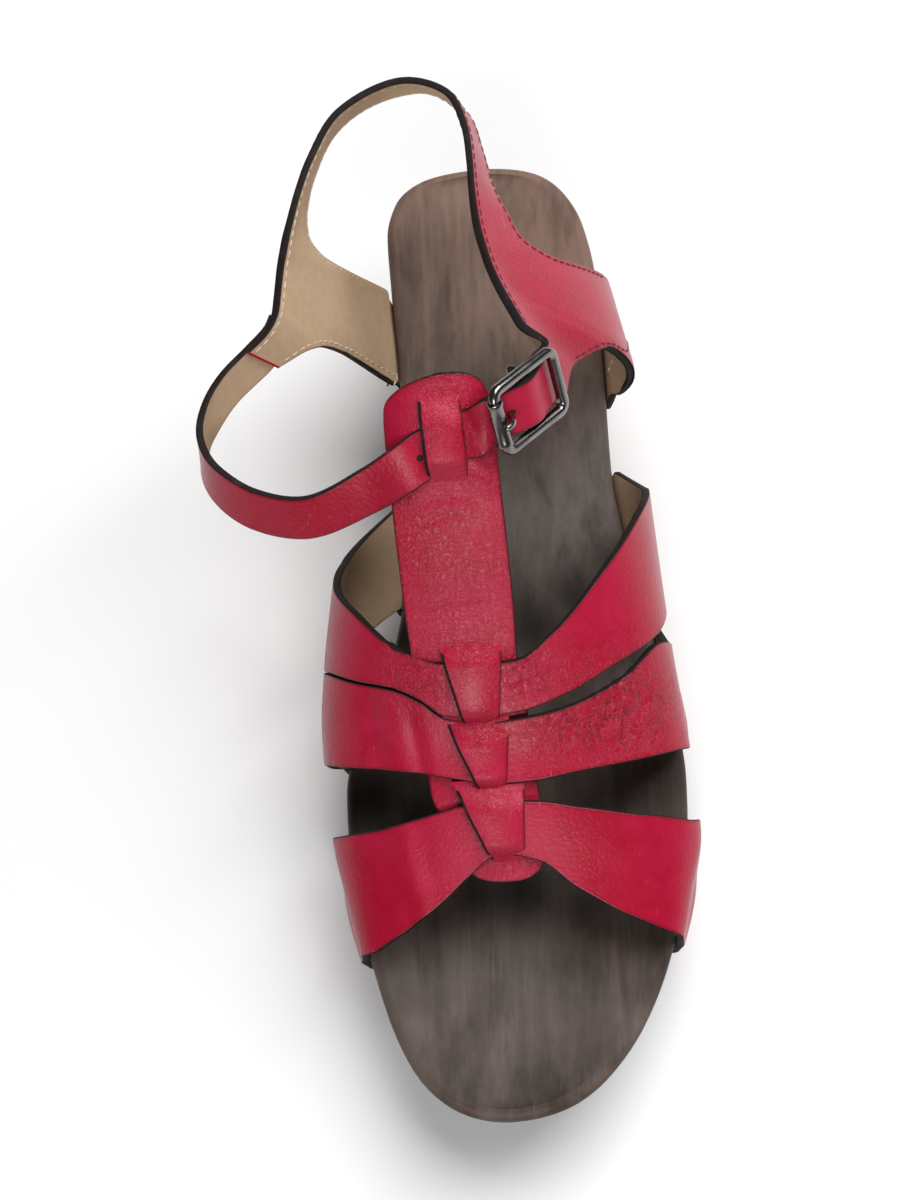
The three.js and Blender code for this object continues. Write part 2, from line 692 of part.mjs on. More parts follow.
// Rounded rectangle of wire with a centre bar set behind it
function buckleFrameBody() {
  const corner = BUCKLE_CORNER;
  const [long, wide] = [BUCKLE_HALF_LENGTH, BUCKLE_HALF_WIDTH];
  const sideCount = 7;
  const loop = [];
  const centres = [[1, 1], [-1, 1], [-1, -1], [1, -1]];
  centres.forEach(([sx, sy], quarter) => {
    for (let k = 0; k <= 4; k += 1) {
      const a = (Math.PI / 2) * (quarter + k / 4);
      const x = sx * (long - corner) + corner * Math.cos(a);
      const y = sy * (wide - corner) + corner * Math.sin(a);
      loop.push({ x, y, a });
    }
  });
  const points = [];
  const triangles = [];
  loop.forEach((at) => {
    for (let k = 0; k < sideCount; k += 1) {
      const t = (2 * Math.PI * k) / sideCount;
      const reach = BUCKLE_WIRE * Math.cos(t);
      const along = at.x + reach * Math.cos(at.a);
      const across = at.y + reach * Math.sin(at.a);
      points.push(buckleFrame(along, across, BUCKLE_WIRE * Math.sin(t)));
    }
  });
  loop.forEach((_, i) => {
    const next = (i + 1) % loop.length;
    for (let k = 0; k < sideCount; k += 1) {
      const up = (k + 1) % sideCount;
      const [a, b, c, d] = [i, next, next, i].map((row, n) => row * sideCount + (n < 2 ? k : up));
      triangles.push([a, b, c], [a, c, d]);
    }
  });
  const frame = body(points, triangles);
  const barStart = buckleFrame(0, -wide, -CENTRE_BAR_DROP);
  const barEnd = buckleFrame(0, wide, -CENTRE_BAR_DROP);
  const bar = wire(straight(barStart, barEnd), CENTRE_BAR_WIRE);
  const post = (side) => {
    const foot = buckleFrame(0, side * wide, -CENTRE_BAR_DROP - CENTRE_BAR_WIRE);
    return wire(straight(foot, buckleFrame(0, side * wide, 0)), CENTRE_BAR_WIRE);
  };
  return frame.add(bar).add(post(-1)).add(post(1));
}

// Sleeve with flared ends on the frame's front bar
function rollerBody() {
  const half = ROLLER_LENGTH / 2;
  const outer = ROLLER_OUTER;
  const bore = BUCKLE_WIRE + GAP;
  const profile = [
    [bore, -half],
    [outer, -half],
    [outer - 0.25, -half + 1.2],
    [outer - 0.25, half - 1.2],
    [outer, half],
    [bore, half],
    [bore, -half],
  ].map(([r, h]) => new THREE.Vector2(r, h));
  const geometry = new THREE.LatheGeometry(profile, 16);
  const basis = new THREE.Matrix4().makeBasis(BUCKLE_OUT, BUCKLE_ACROSS, BUCKLE_ALONG.clone().negate());
  basis.setPosition(buckleFrame(-BUCKLE_HALF_LENGTH, 0, 0));
  return closed(geometry.applyMatrix4(basis));
}

// Prong: an eye on the centre bar and a rod up through the strap's hole to the roller
function prongBody() {
  const eye = [];
  const eyeRadius = CENTRE_BAR_WIRE + GAP + PRONG_WIRE;
  for (let k = 0; k <= 10; k += 1) {
    const a = Math.PI * (1.05 - (1.65 * k) / 10);
    eye.push(buckleFrame(eyeRadius * Math.cos(a), 0, -CENTRE_BAR_DROP + eyeRadius * Math.sin(a)));
  }
  const rest = ROLLER_OUTER + GAP + PRONG_WIRE;
  const rod = [
    buckleFrame(-4.4, 0, -2.8),
    buckleFrame(PRONG_HOLE_ALONG, 0, -1.1),
    buckleFrame(-6.5, 0, 0.9),
    buckleFrame(-8.6, 0, rest - 0.9),
    buckleFrame(-BUCKLE_HALF_LENGTH, 0, rest - 0.2),
    buckleFrame(-BUCKLE_HALF_LENGTH - 1.8, 0, rest - 0.5),
  ];
  const path = new THREE.CatmullRomCurve3([...eye.reverse(), ...rod], false, "centripetal");
  path.wireSteps = 22;
  return wire(path, PRONG_WIRE, 5);
}

// Named piece; crumbs that a cut leaves are dropped
function mesh(name, manifold, look) {
  const bodies = manifold.decompose().sort((a, b) => b.volume() - a.volume());
  const made = bodies[0].getMesh();
  const geometry = new THREE.BufferGeometry();
  geometry.setAttribute("position", new THREE.BufferAttribute(new Float32Array(made.vertProperties), 3));
  geometry.setIndex(new THREE.BufferAttribute(new Uint32Array(made.triVerts), 1));
  geometry.computeVertexNormals();
  const part = new THREE.Mesh(geometry, look);
  part.name = name;
  return part;
}

const wood = new THREE.MeshStandardMaterial({
  name: "stained_wood",
  color: 0x4a3a35,
  roughness: 0.6,
  metalness: 0,
});
const leather = new THREE.MeshStandardMaterial({
  name: "red_leather",
  color: 0xb8122f,
  roughness: 0.45,
  metalness: 0,
});
const gunmetal = new THREE.MeshStandardMaterial({
  name: "gunmetal",
  color: 0x55524f,
  roughness: 0.25,
  metalness: 1,
});

// Ankle strap with the hole for the prong
const ankle = ankleGrid();
const holeAxis = straight(buckleFrame(PRONG_HOLE_ALONG, 0, -5), buckleFrame(PRONG_HOLE_ALONG, 0, 5));
const holeRod = wire(holeAxis, PRONG_HOLE);
const ankleBody = wall(ankle, ANKLE_WALL).subtract(holeRod);

// Upper: T-strap with its slits, cross straps and bars joined, clear of the ankle strap
const straps = ["front", "middle", "rear"].map(strapGrid);
const keeper = BARS[BARS.length - 1];
const keeperWindow = { ...keeper, heelY: keeper.heelY - 3, toeY: keeper.toeY + 3 };
const slit = wall(barGrid(keeperWindow, -BAR_SINK, KEEPER_SLIT), 8);
let upper = wall(tGrid(), UPPER_WALL).subtract(slit);
for (const grid of straps) upper = upper.add(wall(grid, UPPER_WALL));
for (const bar of BARS) upper = upper.add(wall(barGrid(bar), UPPER_WALL));
upper = upper.subtract(wall(ankle, ANKLE_WALL + 4 * GAP, 2 * GAP));

// Heel quarter with its two hems and the slit for the prong in its fold
const hems = [hemGrid(4.1, 6), hemGrid(20, 21)];
const foldBasis = new THREE.Matrix4().makeBasis(BUCKLE_ALONG, BUCKLE_ACROSS, BUCKLE_OUT);
foldBasis.setPosition(buckleFrame(-0.8, 0, -CENTRE_BAR_DROP));
const foldSlit = closed(new THREE.BoxGeometry(9, 2 * (PRONG_WIRE + GAP), 7.4).applyMatrix4(foldBasis));
const quarterRows = quarterGrid();
const pareFrom = quarterRows.length - foldRows().length - BRANCH.length;
const pared = (i) => {
  const share = THREE.MathUtils.clamp((i - pareFrom) / BRANCH.length, 0, 1);
  return mix(QUARTER_WALL, FOLD_WALL, share);
};
let quarter = wall(quarterRows, QUARTER_WALL, 0, pared);
for (const hem of hems) quarter = quarter.add(wall(hem, QUARTER_WALL - 0.2));
quarter = quarter.subtract(foldSlit);

// Sole with a slot for each strap end
let sole = soleBlock();
for (const grid of straps) {
  for (const cutter of slotCutters(grid, UPPER_WALL)) sole = sole.subtract(cutter);
}
for (const hem of hems) {
  const tucked = hem.map((row) => row.slice(1));
  sole = sole.subtract(wall(tucked, QUARTER_WALL + 2 * GAP, GAP));
}

const shoe = new THREE.Group();
shoe.name = "platform_sandal";
shoe.add(mesh("sole", sole, wood));
shoe.add(mesh("upper", upper, leather));
shoe.add(mesh("heel_quarter", quarter, leather));
shoe.add(mesh("ankle_strap", ankleBody, leather));
shoe.add(mesh("buckle_frame", buckleFrameBody(), gunmetal));
shoe.add(mesh("buckle_roller", rollerBody(), gunmetal));
shoe.add(mesh("buckle_prong", prongBody(), gunmetal));

// Stand the shoe on the floor, centred
const bounds = new THREE.Box3().setFromObject(shoe);
const middle = bounds.getCenter(vec()).setZ(bounds.min.z);
shoe.children.forEach((piece) => piece.geometry.translate(-middle.x, -middle.y, -middle.z));

export default shoe;
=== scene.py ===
import math

import bpy
import numpy as np
from mathutils import Matrix, Vector


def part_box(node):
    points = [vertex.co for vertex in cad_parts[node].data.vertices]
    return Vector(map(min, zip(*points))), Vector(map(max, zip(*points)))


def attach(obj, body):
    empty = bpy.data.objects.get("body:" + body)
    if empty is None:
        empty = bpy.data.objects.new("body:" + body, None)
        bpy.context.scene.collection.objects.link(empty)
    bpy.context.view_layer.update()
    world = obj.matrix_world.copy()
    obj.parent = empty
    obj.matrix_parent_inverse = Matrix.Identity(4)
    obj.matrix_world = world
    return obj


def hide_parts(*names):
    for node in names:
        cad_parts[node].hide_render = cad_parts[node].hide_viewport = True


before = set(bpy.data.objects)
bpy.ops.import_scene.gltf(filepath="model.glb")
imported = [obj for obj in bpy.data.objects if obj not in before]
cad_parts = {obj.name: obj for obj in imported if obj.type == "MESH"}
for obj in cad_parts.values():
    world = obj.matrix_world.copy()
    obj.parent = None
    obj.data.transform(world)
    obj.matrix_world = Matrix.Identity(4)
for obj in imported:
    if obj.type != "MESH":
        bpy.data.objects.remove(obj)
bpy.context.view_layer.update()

bl_info = {
    "name": "Platform sandal",
    "version": (1, 0, 0),
    "blender": (4, 5, 0),
    "location": "3D View > Sidebar > Sandal",
    "description": "Dresses the platform sandal: wooden sole, leather straps, buckle and stage",
    "category": "Object",
}


# Tables and sizes of the shoe, in millimetres: -Y toe, +Y heel, +X outer side, -X inner side, +Z up


def table(columns, rows):
    """Rows of a table as dictionaries keyed by the column names."""
    names = columns.split()
    return [dict(zip(names, row)) for row in rows]


MM = 0.001

SOLE_HALF = 134.0
EDGE_RADIUS = 3.0
FOOTBED_DISH = 1.8
DISH_WIDTH = 40.0
FOOT_CHAMFER = 1.0

UPPER_WALL = 2.2
QUARTER_WALL = 2.4
ANKLE_WALL = 2.0
ANKLE_WIDTH = 12.4
ANKLE_TIP_WALL = 0.9
FOLD_WALL = 1.3
GAP = 0.3

# Cut edges: how far they are rounded and painted, what a flush border's distance grows by, and where the
# columns of points lie beside a border
EDGE_ROUND = 0.5
EDGE_PAINT = 0.4
FLUSH_RIM = 2.0
BORDER = np.array([0, 0.12, 0.3, 0.55, 0.9])

# Columns of points across each kind of leather piece
COLUMNS = {"t_strap": 60, "cross_strap": 50, "bar": 32, "quarter": 56, "ankle_strap": 30}

SLOT_DEPTH = 11.0
SLOT_REACH = 6.0
SLOT_BEND = 2.6
SIDE_GAP = 0.45
SKIRT_SWEEP = 0.35
SKIRT_BEND = 0.4

BUCKLE_HALF_LENGTH = 11.4
BUCKLE_HALF_WIDTH = 8.5
BUCKLE_WIRE = 1.4
BUCKLE_CORNER = 2.4
BUCKLE_SQUARE = 0.75
CENTRE_BAR_DROP = 3.6
CENTRE_BAR_WIRE = 1.1
ROLLER_OUTER = 2.25
ROLLER_LENGTH = 12.2
ROLLER_ROUND = 0.1
ROLLER_LIP = 0.25
ROLLER_LIP_LENGTH = 1.2
PRONG_WIRE = 0.9

# Way of the prong, along and out: half turns of its eye, its rise through the strap, where it is before the
# roller's middle and under its rest, and where it rests on the roller
PRONG_EYE_TURNS = (-0.6, 1.05)
PRONG_RISE = ((-4.6, -2.9), (-6.2, -1.3), (-7.6, 0.6))
PRONG_LANDING = (2.1, 0.8)
PRONG_ON_ROLLER = (0.2, -0.9)

# Plan of the sole: reach of its top edge to the inner and the outer side
OUTLINE = table("y inner outer", [
    (134, 0, 0),
    (131, -19, 15.2),
    (124, -26.6, 22.8),
    (114, -29, 27.4),
    (96, -28.1, 30.4),
    (70, -26.5, 31.3),
    (45, -26.4, 31.9),
    (20, -27.2, 36),
    (0, -31, 41),
    (-20, -39.8, 45.8),
    (-42, -45.6, 48.2),
    (-70, -43.8, 46.8),
    (-93, -38, 40.8),
    (-110, -32.4, 33.3),
    (-122, -26, 24.6),
    (-130, -17.4, 14.6),
    (-134, -3, -3),
])

# Side view of the sole: footbed, underside, and how far the wall draws in on its way down
PROFILE = table("y top under inset", [
    (134, 62, 0, 8),
    (100, 59.5, 0, 6.5),
    (67, 53, 0, 6),
    (59, 50.6, 30, 5),
    (42, 45.1, 27.5, 4),
    (20, 38, 13, 3.5),
    (4, 33.3, 1.5, 3.5),
    (-6, 31.2, 0, 3.5),
    (-50, 27.5, 0, 4),
    (-76, 28, 0, 5),
    (-110, 30, 6, 8),
    (-134, 33, 14, 11),
])

# The last over the forefoot: line of the crest, and the widest line on each side
LAST = table("y ridge crest girth inner outer", [
    (-92, -3, 45, 33, -39, 43),
    (-76, -3, 52, 34, -43, 46.6),
    (-60, -2, 60, 36.5, -46.5, 50),
    (-45, -4, 67, 40, -48, 49),
    (-31, -6.5, 77, 44, -48.5, 47.4),
    (-15, -7.5, 89.5, 49, -47, 45.2),
    (0, -8, 101.5, 53, -44.5, 43.6),
    (15, -8.5, 112.8, 57.5, -41.5, 42.2),
    (36, -9, 126.7, 61.5, -37, 40.4),
])

# Cross straps: y of each strap's front and back edge, by the share of the way across the last
STRAP_EDGES = table("share frontToe frontHeel middleToe middleHeel rearToe rearHeel", [
    (0, -89.5, -57.5, -38.5, -14.6, -14.3, 14),
    (0.12, -90, -59.5, -42, -19.6, -19.3, 1),
    (0.25, -87, -60.5, -45.5, -25.6, -25.3, -10.4),
    (0.35, -82, -59.2, -48.2, -29.6, -29.3, -20),
    (0.4, -78.4, -58.1, -49.7, -32.9, -32.6, -22.8),
    (0.44, -74.6, -57.1, -51, -36.7, -36.4, -24.7),
    (0.51, -69.2, -56.6, -52.6, -38.2, -37, -25.6),
    (0.57, -70.8, -56.8, -52, -37.4, -36, -25),
    (0.64, -77.4, -58.2, -49.9, -35, -32.4, -18.5),
    (0.75, -83.9, -59.3, -46.5, -27.7, -24, -3),
    (0.88, -87.3, -59, -42, -16, -14, 15.5),
    (1, -88.2, -57, -38.5, -11.5, -2.5, 30),
])

# How far back the ends of a strap sweep between the last and the sole, on the inner and the outer side
STRAP_SWEEP = {"front": (0, 0), "middle": (4, 12), "rear": (24, 13.5)}

# T-strap from the tab at the toe to its top: centre, half width before its ends are rounded, and depth
# under the crest
T_STRAP = table("y x half under", [
    (-76.1, -0.4, 11.4, 2.1),
    (-64, -2, 12.6, 2.1),
    (-54, -4.8, 14, 2.1),
    (-38, -6.4, 14, 2.1),
    (-29, -7.4, 13.8, 2.1),
    (-21.5, -7.8, 13.6, 0.2),
    (-15, -8, 13.9, 0),
    (0, -8.7, 14, 0),
    (16, -9.5, 13.7, 0),
    (28, -10.2, 13, 0),
    (34.9, -9.1, 12.2, 0),
])

# The T-strap's crown and the shape of its ends: skew, rounding, narrowest share, droop of the top corners
T_TOP_SKEW = 1.3
T_CROWN = 1.6
T_TOE_ROUND = 12.1
T_TOP_ROUND = 7.7
T_ROUND_POWER = 2.7
T_TIP_SHARE = 0.02
T_TOP_DROOP = 2.2
T_DROOP_FROM = 8.0
T_DROOP_RUN = 18.0

# Bars of the slit T-strap over the cross straps, the last one over the ankle strap. Each end has its place,
# half width, the run of its rise and how far under the last's crest it starts; raise is the height of the
# middle over the crest
BARS = table("name heelY heelX heelHalf heelRamp heelSink toeY toeX toeHalf toeRamp toeSink raise", [
    ("rear_bar", -21, -6, 8.1, 5, 0, -40, -4.2, 4.1, 5.5, 1.4, 2.4),
    ("middle_bar", -36, -5.8, 8.6, 7.5, 0.7, -55.5, -2.2, 2.9, 5.5, 1.8, 2.3),
    ("front_bar", -51.5, -3.8, 9.4, 7.5, 0.7, -71.5, 0.8, 3.9, 5.5, 2, 2.3),
    ("keeper_bar", 31.5, -9.5, 5.2, 7.5, 0, 12.2, -8.2, 5, 5.5, 0, 3),
])

# Drop of a bar's rounded sides, tilt of its inner side, and how proud it lies where it is flush
BAR_CROWN = 0.7
BAR_TILT = 0.5
BAR_PROUD = 0.03

# Height at which a bar's edges are cut free, and the share of it past which a strip along its inner edge
# is painted dark as the shadow of its slit
BAR_FREE = 0.9
BAR_SLIT_SHADOW = 0.8

# Heel quarter from its inner tip round the heel to the outer side: top edge, the y of the point on
# the sole's edge below it, how far the fall leans out past that edge, how far the leather reaches down,
# and how far the fall bows out
LOOP = table("x y z footY lean depth bow", [
    (-60.5, 53.5, 107.5, 61, 0, 14, 1.2),
    (-55.5, 58.6, 108.5, 64, 0, 17, 1.2),
    (-53.2, 63, 109.4, 66.5, 0, 23, 1.2),
    (-52.3, 68, 110.6, 69, 0, 38, 1.2),
    (-51.7, 71.5, 112, 72, 0, 80, 1.2),
    (-51, 75.5, 113.4, 84, 0, 80, 1.2),
    (-50.1, 79, 114.8, 96, 0, 80, 1.2),
    (-49.2, 82.5, 116, 101, 3, 26, 1.2),
    (-48, 86.4, 117.2, 104, 8, 17, 1.2),
    (-45.6, 94, 119.1, 108, 14, 15, 1.2),
    (-42, 103.5, 120.4, 114, 17, 15, 1.2),
    (-34.5, 116, 121.6, 124, 17, 15, 1.2),
    (-18, 124, 122, 134, 14, 15, 0),
    (-6, 119.8, 121.9, 127, -12, 15, 1.2),
    (-1.6, 110, 121.4, 113, -19, 15, 1.2),
    (-0.4, 99, 120.5, 105, -14, 15, 1.2),
    (-0.2, 92, 119.9, 104, -5, 15.2, 1.2),
    (0.2, 86, 119.4, 103.8, 0, 17, 2),
    (1, 79.6, 118.9, 103.2, 0, 18.4, 4),
    (2.3, 73.9, 118.4, 99, 0, 27, 6.5),
    (3.6, 69.2, 117.9, 93, 0, 72, 8.5),
    (5.6, 64, 117.4, 63.5, 0, 72, 14.2),
    (6.6, 61.8, 117.2, 61, 0, 36.5, 14),
    (11.2, 52.2, 117, 55, 0, 26.5, 6),
])

# The bow follows share ** BOW_POWER * (1 - share), and BOW_PEAK brings its highest value to one
BOW_PEAK = 5.38
BOW_POWER = 1.5

# Hems, the thin tip under the ankle strap, and the sling that is pared between two rows of the loop
HEM_OVERLAP = 5.0
HEM_WALL = 2.2
TIP_WALL = 0.8
JOINT_SPAN = 2.2
JOINT_INSET = 0.6
JOINT_GAP = 0.05
SLING_PARE = 0.5
SLING_FIRST = 6.0
SLING_LAST = 18.0
SLING_RUN = 3.0
HEM_SPANS = ((4.1, 6.0), (20.0, 21.0))
LOOP_LAST = len(LOOP) - 1
LOOP_BACK = 12

# Seams of the quarter along its top and its low edge, by the rows of the loop
TOP_SEAM = (0.4, LOOP_LAST - 0.1)
LOW_SEAMS = ((0.4, 3.7), (6.6, 19.5), (21.1, 22.95))
SEAM_STEPS = {"top": 600, "low": 300}
SEAM_SINK = 0.02
THREAD_FLATNESS = 0.8

# Branch of the outer quarter beside the buckle: along it, height over it, reach above and below its middle
BRANCH = table("along out top low", [
    (17, -7, 6.3, 11.5),
    (11, -6, 6, 8),
    (6.5, -4.3, 6, 6.2),
    (3, -2.3, 6, 6),
])
FOLD_REACH = 6.0
FOLD_TAIL = 4.0
FOLD_TAIL_DROP = 1.2

# Free part of the ankle strap: centre line, and how far its face turns up
ANKLE = table("x y z lean", [
    (-66.4, 47.4, 100.4, -12),
    (-70.8, 41, 99.2, -8),
    (-73.4, 33.5, 98.4, 2),
    (-72.2, 25.5, 98.8, 14),
    (-67.4, 18.4, 99.7, 24),
    (-59, 12.2, 100.4, 30),
    (-45, 8.2, 102.8, 33),
    (-28.5, 11.8, 109.4, 43),
])

# Where the ankle strap crosses the T-strap: height over the T-strap's middle
CROSSING = table("x y over", [
    (-18.5, 16.4, 2.5),
    (-12.6, 18.9, 0.3),
    (-5.2, 21.6, 0.4),
    (-0.6, 22.9, 2),
])
CROSSING_ALONG = np.array([0.94, 0.34, 0.1])

# The ankle strap in the buckle: under the roller, over the centre bar, under the far bar
THREADING = table("along out", [
    (-11.4, -4.3),
    (-5.5, -1.2),
    (0, 0.9),
    (6, -0.9),
    (11.4, -3.3),
    (14.2, -4),
])

# Row of the ankle strap at its spare hole, and the thickness of the dark spot of painted shade that stands
# for a hole
SPARE_HOLE_ROW = 11.55
HOLE_DEPTH = 0.3

# Creases pressed into the leather: centre in plan, turn from +X, length, width, depth (ridge if negative)
CREASES = {
    "middle": table("x y turn length width depth", [
        (24, -35, 70, 17, 0.8, 0.22),
        (26.5, -34.2, 66, 14, 0.7, 0.18),
        (28.5, -33.5, 62, 20, 0.9, 0.26),
        (31, -33, 70, 14, 0.7, 0.2),
        (33, -32.5, 74, 18, 0.9, 0.26),
        (35, -32, 68, 13, 0.7, 0.18),
        (37, -31.5, 64, 15, 0.9, 0.24),
        (19, -38, 80, 11, 0.8, 0.18),
        (12, -41, 60, 9, 0.8, 0.18),
        (-32, -40, 97, 26, 3.4, 0.45),
        (-21.5, -42, 100, 22, 3, 0.45),
    ]),
    "rear": table("x y turn length width depth", [
        (-18, -22, 152, 12, 0.7, 0.2),
        (-20, -25, 164, 14, 0.7, 0.22),
        (-21, -28.5, 178, 12, 0.7, 0.2),
        (-24, -22, 140, 10, 0.6, 0.15),
        (-27, -19, 120, 9, 0.6, 0.15),
        (7, -26, 28, 12, 0.8, 0.2),
        (9, -29, 18, 14, 0.8, 0.2),
        (10, -32, 6, 11, 0.8, 0.18),
    ]),
    "front": table("x y turn length width depth", [
        (-24, -74, 104, 34, 4, -0.5),
    ]),
    "t_strap": table("x y turn length width depth", [
        (-9, 9.2, 4, 12, 1.6, 0.22),
        (-11, 5.2, 6, 9, 1.5, 0.16),
        (-1.5, 14.5, -28, 8, 1.2, 0.2),
        (-8, 30.4, 3, 9, 1, 0.2),
        (-8.5, 32.2, 2, 8, 0.9, 0.16),
        (-9, -14, 3, 18, 2.2, 0.2),
    ]),
}

# Places where the leather's grain is crumpled into small pebbles, with glints painted on their ridges:
# centre, radius, strength
CRINKLES = table("x y z radius strength", [
    (-8, -8, 95, 15, 0.9),
    (-10, 6, 107, 9, 0.7),
    (0, 13, 113, 7, 0.8),
    (-8, 31, 123, 7, 0.7),
    (-9, 24, 120, 8, 0.5),
    (31, -33, 62, 15, 0.8),
    (14, -40, 72, 9, 0.6),
    (-20, -26, 76, 9, 0.7),
    (9, -29, 79, 9, 0.7),
    (-6, -23, 84, 6, 0.7),
    (-4, -40, 71, 6, 0.7),
    (-2, -56, 62, 6, 0.6),
    (0, -73, 55, 7, 0.7),
])

# Places where the leather's finish has cracked in thin lines, and where shade is painted on the lining:
# centre, radius, strength
CRACKS = table("x y z radius strength", [
    (29, -33, 63, 13, 1),
    (36, -30, 57, 9, 0.8),
    (17, -38, 70, 8, 0.8),
    (9, -29, 79, 7, 0.6),
    (-20, -26, 76, 9, 0.6),
])
LINING_SHADE = table("x y z radius strength", [
    (-33, 14, 52, 18, 0.95),
    (-38, 4, 66, 16, 0.8),
])

# Places where the stain is worn to the wood, where light is painted on the shaded waist of the footbed as a
# paler stain, and where shade is painted under and beside the straps: centre, radius, strength
WEAR = table("x y z radius strength", [
    (27, -92, 38, 9, 0.45),
    (14, -96, 38, 5, 0.35),
    (-14, -112, 41, 12, 0.2),
    (40, -84, 38, 6, 0.4),
    (-20, 92, 60, 14, 0.5),
])
PAINTED_LIGHT = table("x y z radius strength", [
    (14, 30, 50, 26, 0.85),
    (24, 52, 54, 24, 0.8),
    (6, 66, 58, 24, 0.5),
    (-20, 60, 56, 20, 0.3),
])
PAINTED_SHADE = table("x y z radius strength", [
    (-24, -49, 28, 14, 0.9),
    (-12, -47, 28, 10, 0.7),
    (2, -71, 28, 13, 0.92),
    (-10, -71, 28, 12, 0.85),
    (-22, -76, 28, 9, 0.55),
    (20, -74, 28, 10, 0.55),
    (8, 2, 33, 12, 0.85),
    (19, 11, 35, 10, 0.7),
    (29, 19, 37, 8, 0.5),
    (-26, 0, 31, 12, 1),
    (18, -49, 28, 9, 0.3),
    (-38, -43, 28, 15, 1),
    (-30, -57, 28, 12, 0.9),
])


# Curves and surfaces of the shoe


def columns_of(kind):
    """Shares of the way across a leather piece at which its columns of points lie."""
    return np.linspace(0, 1, COLUMNS[kind])


def unit(v):
    """Vectors of an array scaled to length one."""
    return v / np.maximum(np.linalg.norm(v, axis=-1, keepdims=True), 1e-9)


def mix(a, b, t):
    return a + (b - a) * t


def smoothstep(t):
    t = np.clip(t, 0, 1)
    return t * t * (3 - 2 * t)


def curve(rows, key, value):
    """Smooth function through the rows of a table that never overshoots them."""
    ordered = sorted(rows, key=lambda row: row[key])
    at = np.array([row[key] for row in ordered], float)
    out = np.array([row[value] for row in ordered], float)
    slope = np.diff(out) / np.diff(at)
    before = np.concatenate([slope[:1], slope])
    after = np.concatenate([slope, slope[-1:]])
    product = before * after
    total = np.where(product > 0, before + after, 1)
    tangent = np.where(product > 0, 2 * product / total, 0)

    def value_at(x):
        t = np.clip(x, at[0], at[-1])
        i = np.searchsorted(at[1:-1], t)
        span = at[i + 1] - at[i]
        s = (t - at[i]) / span
        ends = out[i] * (1 + 2 * s) * (1 - s) ** 2 + out[i + 1] * s * s * (3 - 2 * s)
        return ends + span * (tangent[i] * s * (1 - s) ** 2 - tangent[i + 1] * s * s * (1 - s))

    return value_at


def spline(points):
    """Centripetal curve through points; its argument counts the points from 0."""
    p = np.array(points, float)
    p = np.concatenate([[2 * p[0] - p[1]], p, [2 * p[-1] - p[-2]]])
    gap = np.maximum(np.linalg.norm(np.diff(p, axis=0), axis=1), 1e-6) ** 0.5

    def point_at(u):
        u = np.asarray(u, float)
        i = np.clip(np.floor(u).astype(int), 0, len(p) - 4)
        s = (u - i)[..., None]
        a, b, c, d = p[i], p[i + 1], p[i + 2], p[i + 3]
        g0, g1, g2 = (gap[i + k][..., None] for k in range(3))
        leave = ((b - a) / g0 - (c - a) / (g0 + g1) + (c - b) / g1) * g1
        arrive = ((c - b) / g1 - (d - b) / (g1 + g2) + (d - c) / g2) * g1
        square = 3 * (c - b) - 2 * leave - arrive
        cube = 2 * (b - c) + leave + arrive
        return b + leave * s + square * s**2 + cube * s**3

    return point_at


def turn_of(y):
    return np.arccos(np.clip(np.asarray(y, float) / SOLE_HALF, -1, 1))


OUTLINE_TURNS = [dict(row, turn=float(turn_of(row["y"]))) for row in OUTLINE]
EDGE_OF_SIDE = {-1: curve(OUTLINE_TURNS, "turn", "inner"), 1: curve(OUTLINE_TURNS, "turn", "outer")}
top_at = curve(PROFILE, "y", "top")
under_at = curve(PROFILE, "y", "under")
inset_at = curve(PROFILE, "y", "inset")
LAST_CURVES = {name: curve(LAST, "y", name) for name in ("ridge", "crest", "girth", "inner", "outer")}
T_CURVES = {name: curve(T_STRAP, "y", name) for name in ("x", "half", "under")}
LOOP_ROWS = [dict(row, index=index) for index, row in enumerate(LOOP)]
loop_top = spline([(row["x"], row["y"], row["z"]) for row in LOOP])
loop_foot = curve(LOOP_ROWS, "index", "footY")
loop_lean = curve(LOOP_ROWS, "index", "lean")
loop_depth = curve(LOOP_ROWS, "index", "depth")
loop_bow = curve(LOOP_ROWS, "index", "bow")


def edge_point(side, turn, inset):
    """Plan point of the sole's edge on a side, drawn in square to the edge."""
    turn = np.asarray(turn, float)
    step = 0.01

    def plan(t):
        return np.stack([EDGE_OF_SIDE[side](t), SOLE_HALF * np.cos(t)], -1)

    along = plan(np.minimum(turn + step, np.pi)) - plan(np.maximum(turn - step, 0))
    inward = unit(np.stack([along[..., 1], -along[..., 0]], -1) * side)
    tip = np.minimum(turn, np.pi - turn) < 1e-6
    straight_in = np.stack([np.zeros_like(turn), -np.sign(np.cos(turn))], -1)
    inward = np.where(tip[..., None], straight_in, inward)
    return plan(turn) + inward * np.asarray(inset, float)[..., None]


def edge_x(side, y):
    return EDGE_OF_SIDE[side](turn_of(y))


def wall_x(side, y, depth):
    """x of the sole's side wall at a depth below the footbed's edge."""
    height = top_at(y) - under_at(y)
    share = max(depth - EDGE_RADIUS, 0) / (height - EDGE_RADIUS)
    return edge_x(side, y) - side * inset_at(y) * share


def last_point(y, share):
    """Point of the last at a y and a share of the way from the inner to the outer side."""
    turn = (share - 0.5) * np.pi
    ridge = LAST_CURVES["ridge"](y)
    reach = np.where(turn < 0, ridge - LAST_CURVES["inner"](y), LAST_CURVES["outer"](y) - ridge)
    girth = LAST_CURVES["girth"](y)
    rise = LAST_CURVES["crest"](y) - girth
    return np.stack([ridge + reach * np.sin(turn), y, girth + rise * np.cos(turn)], -1)


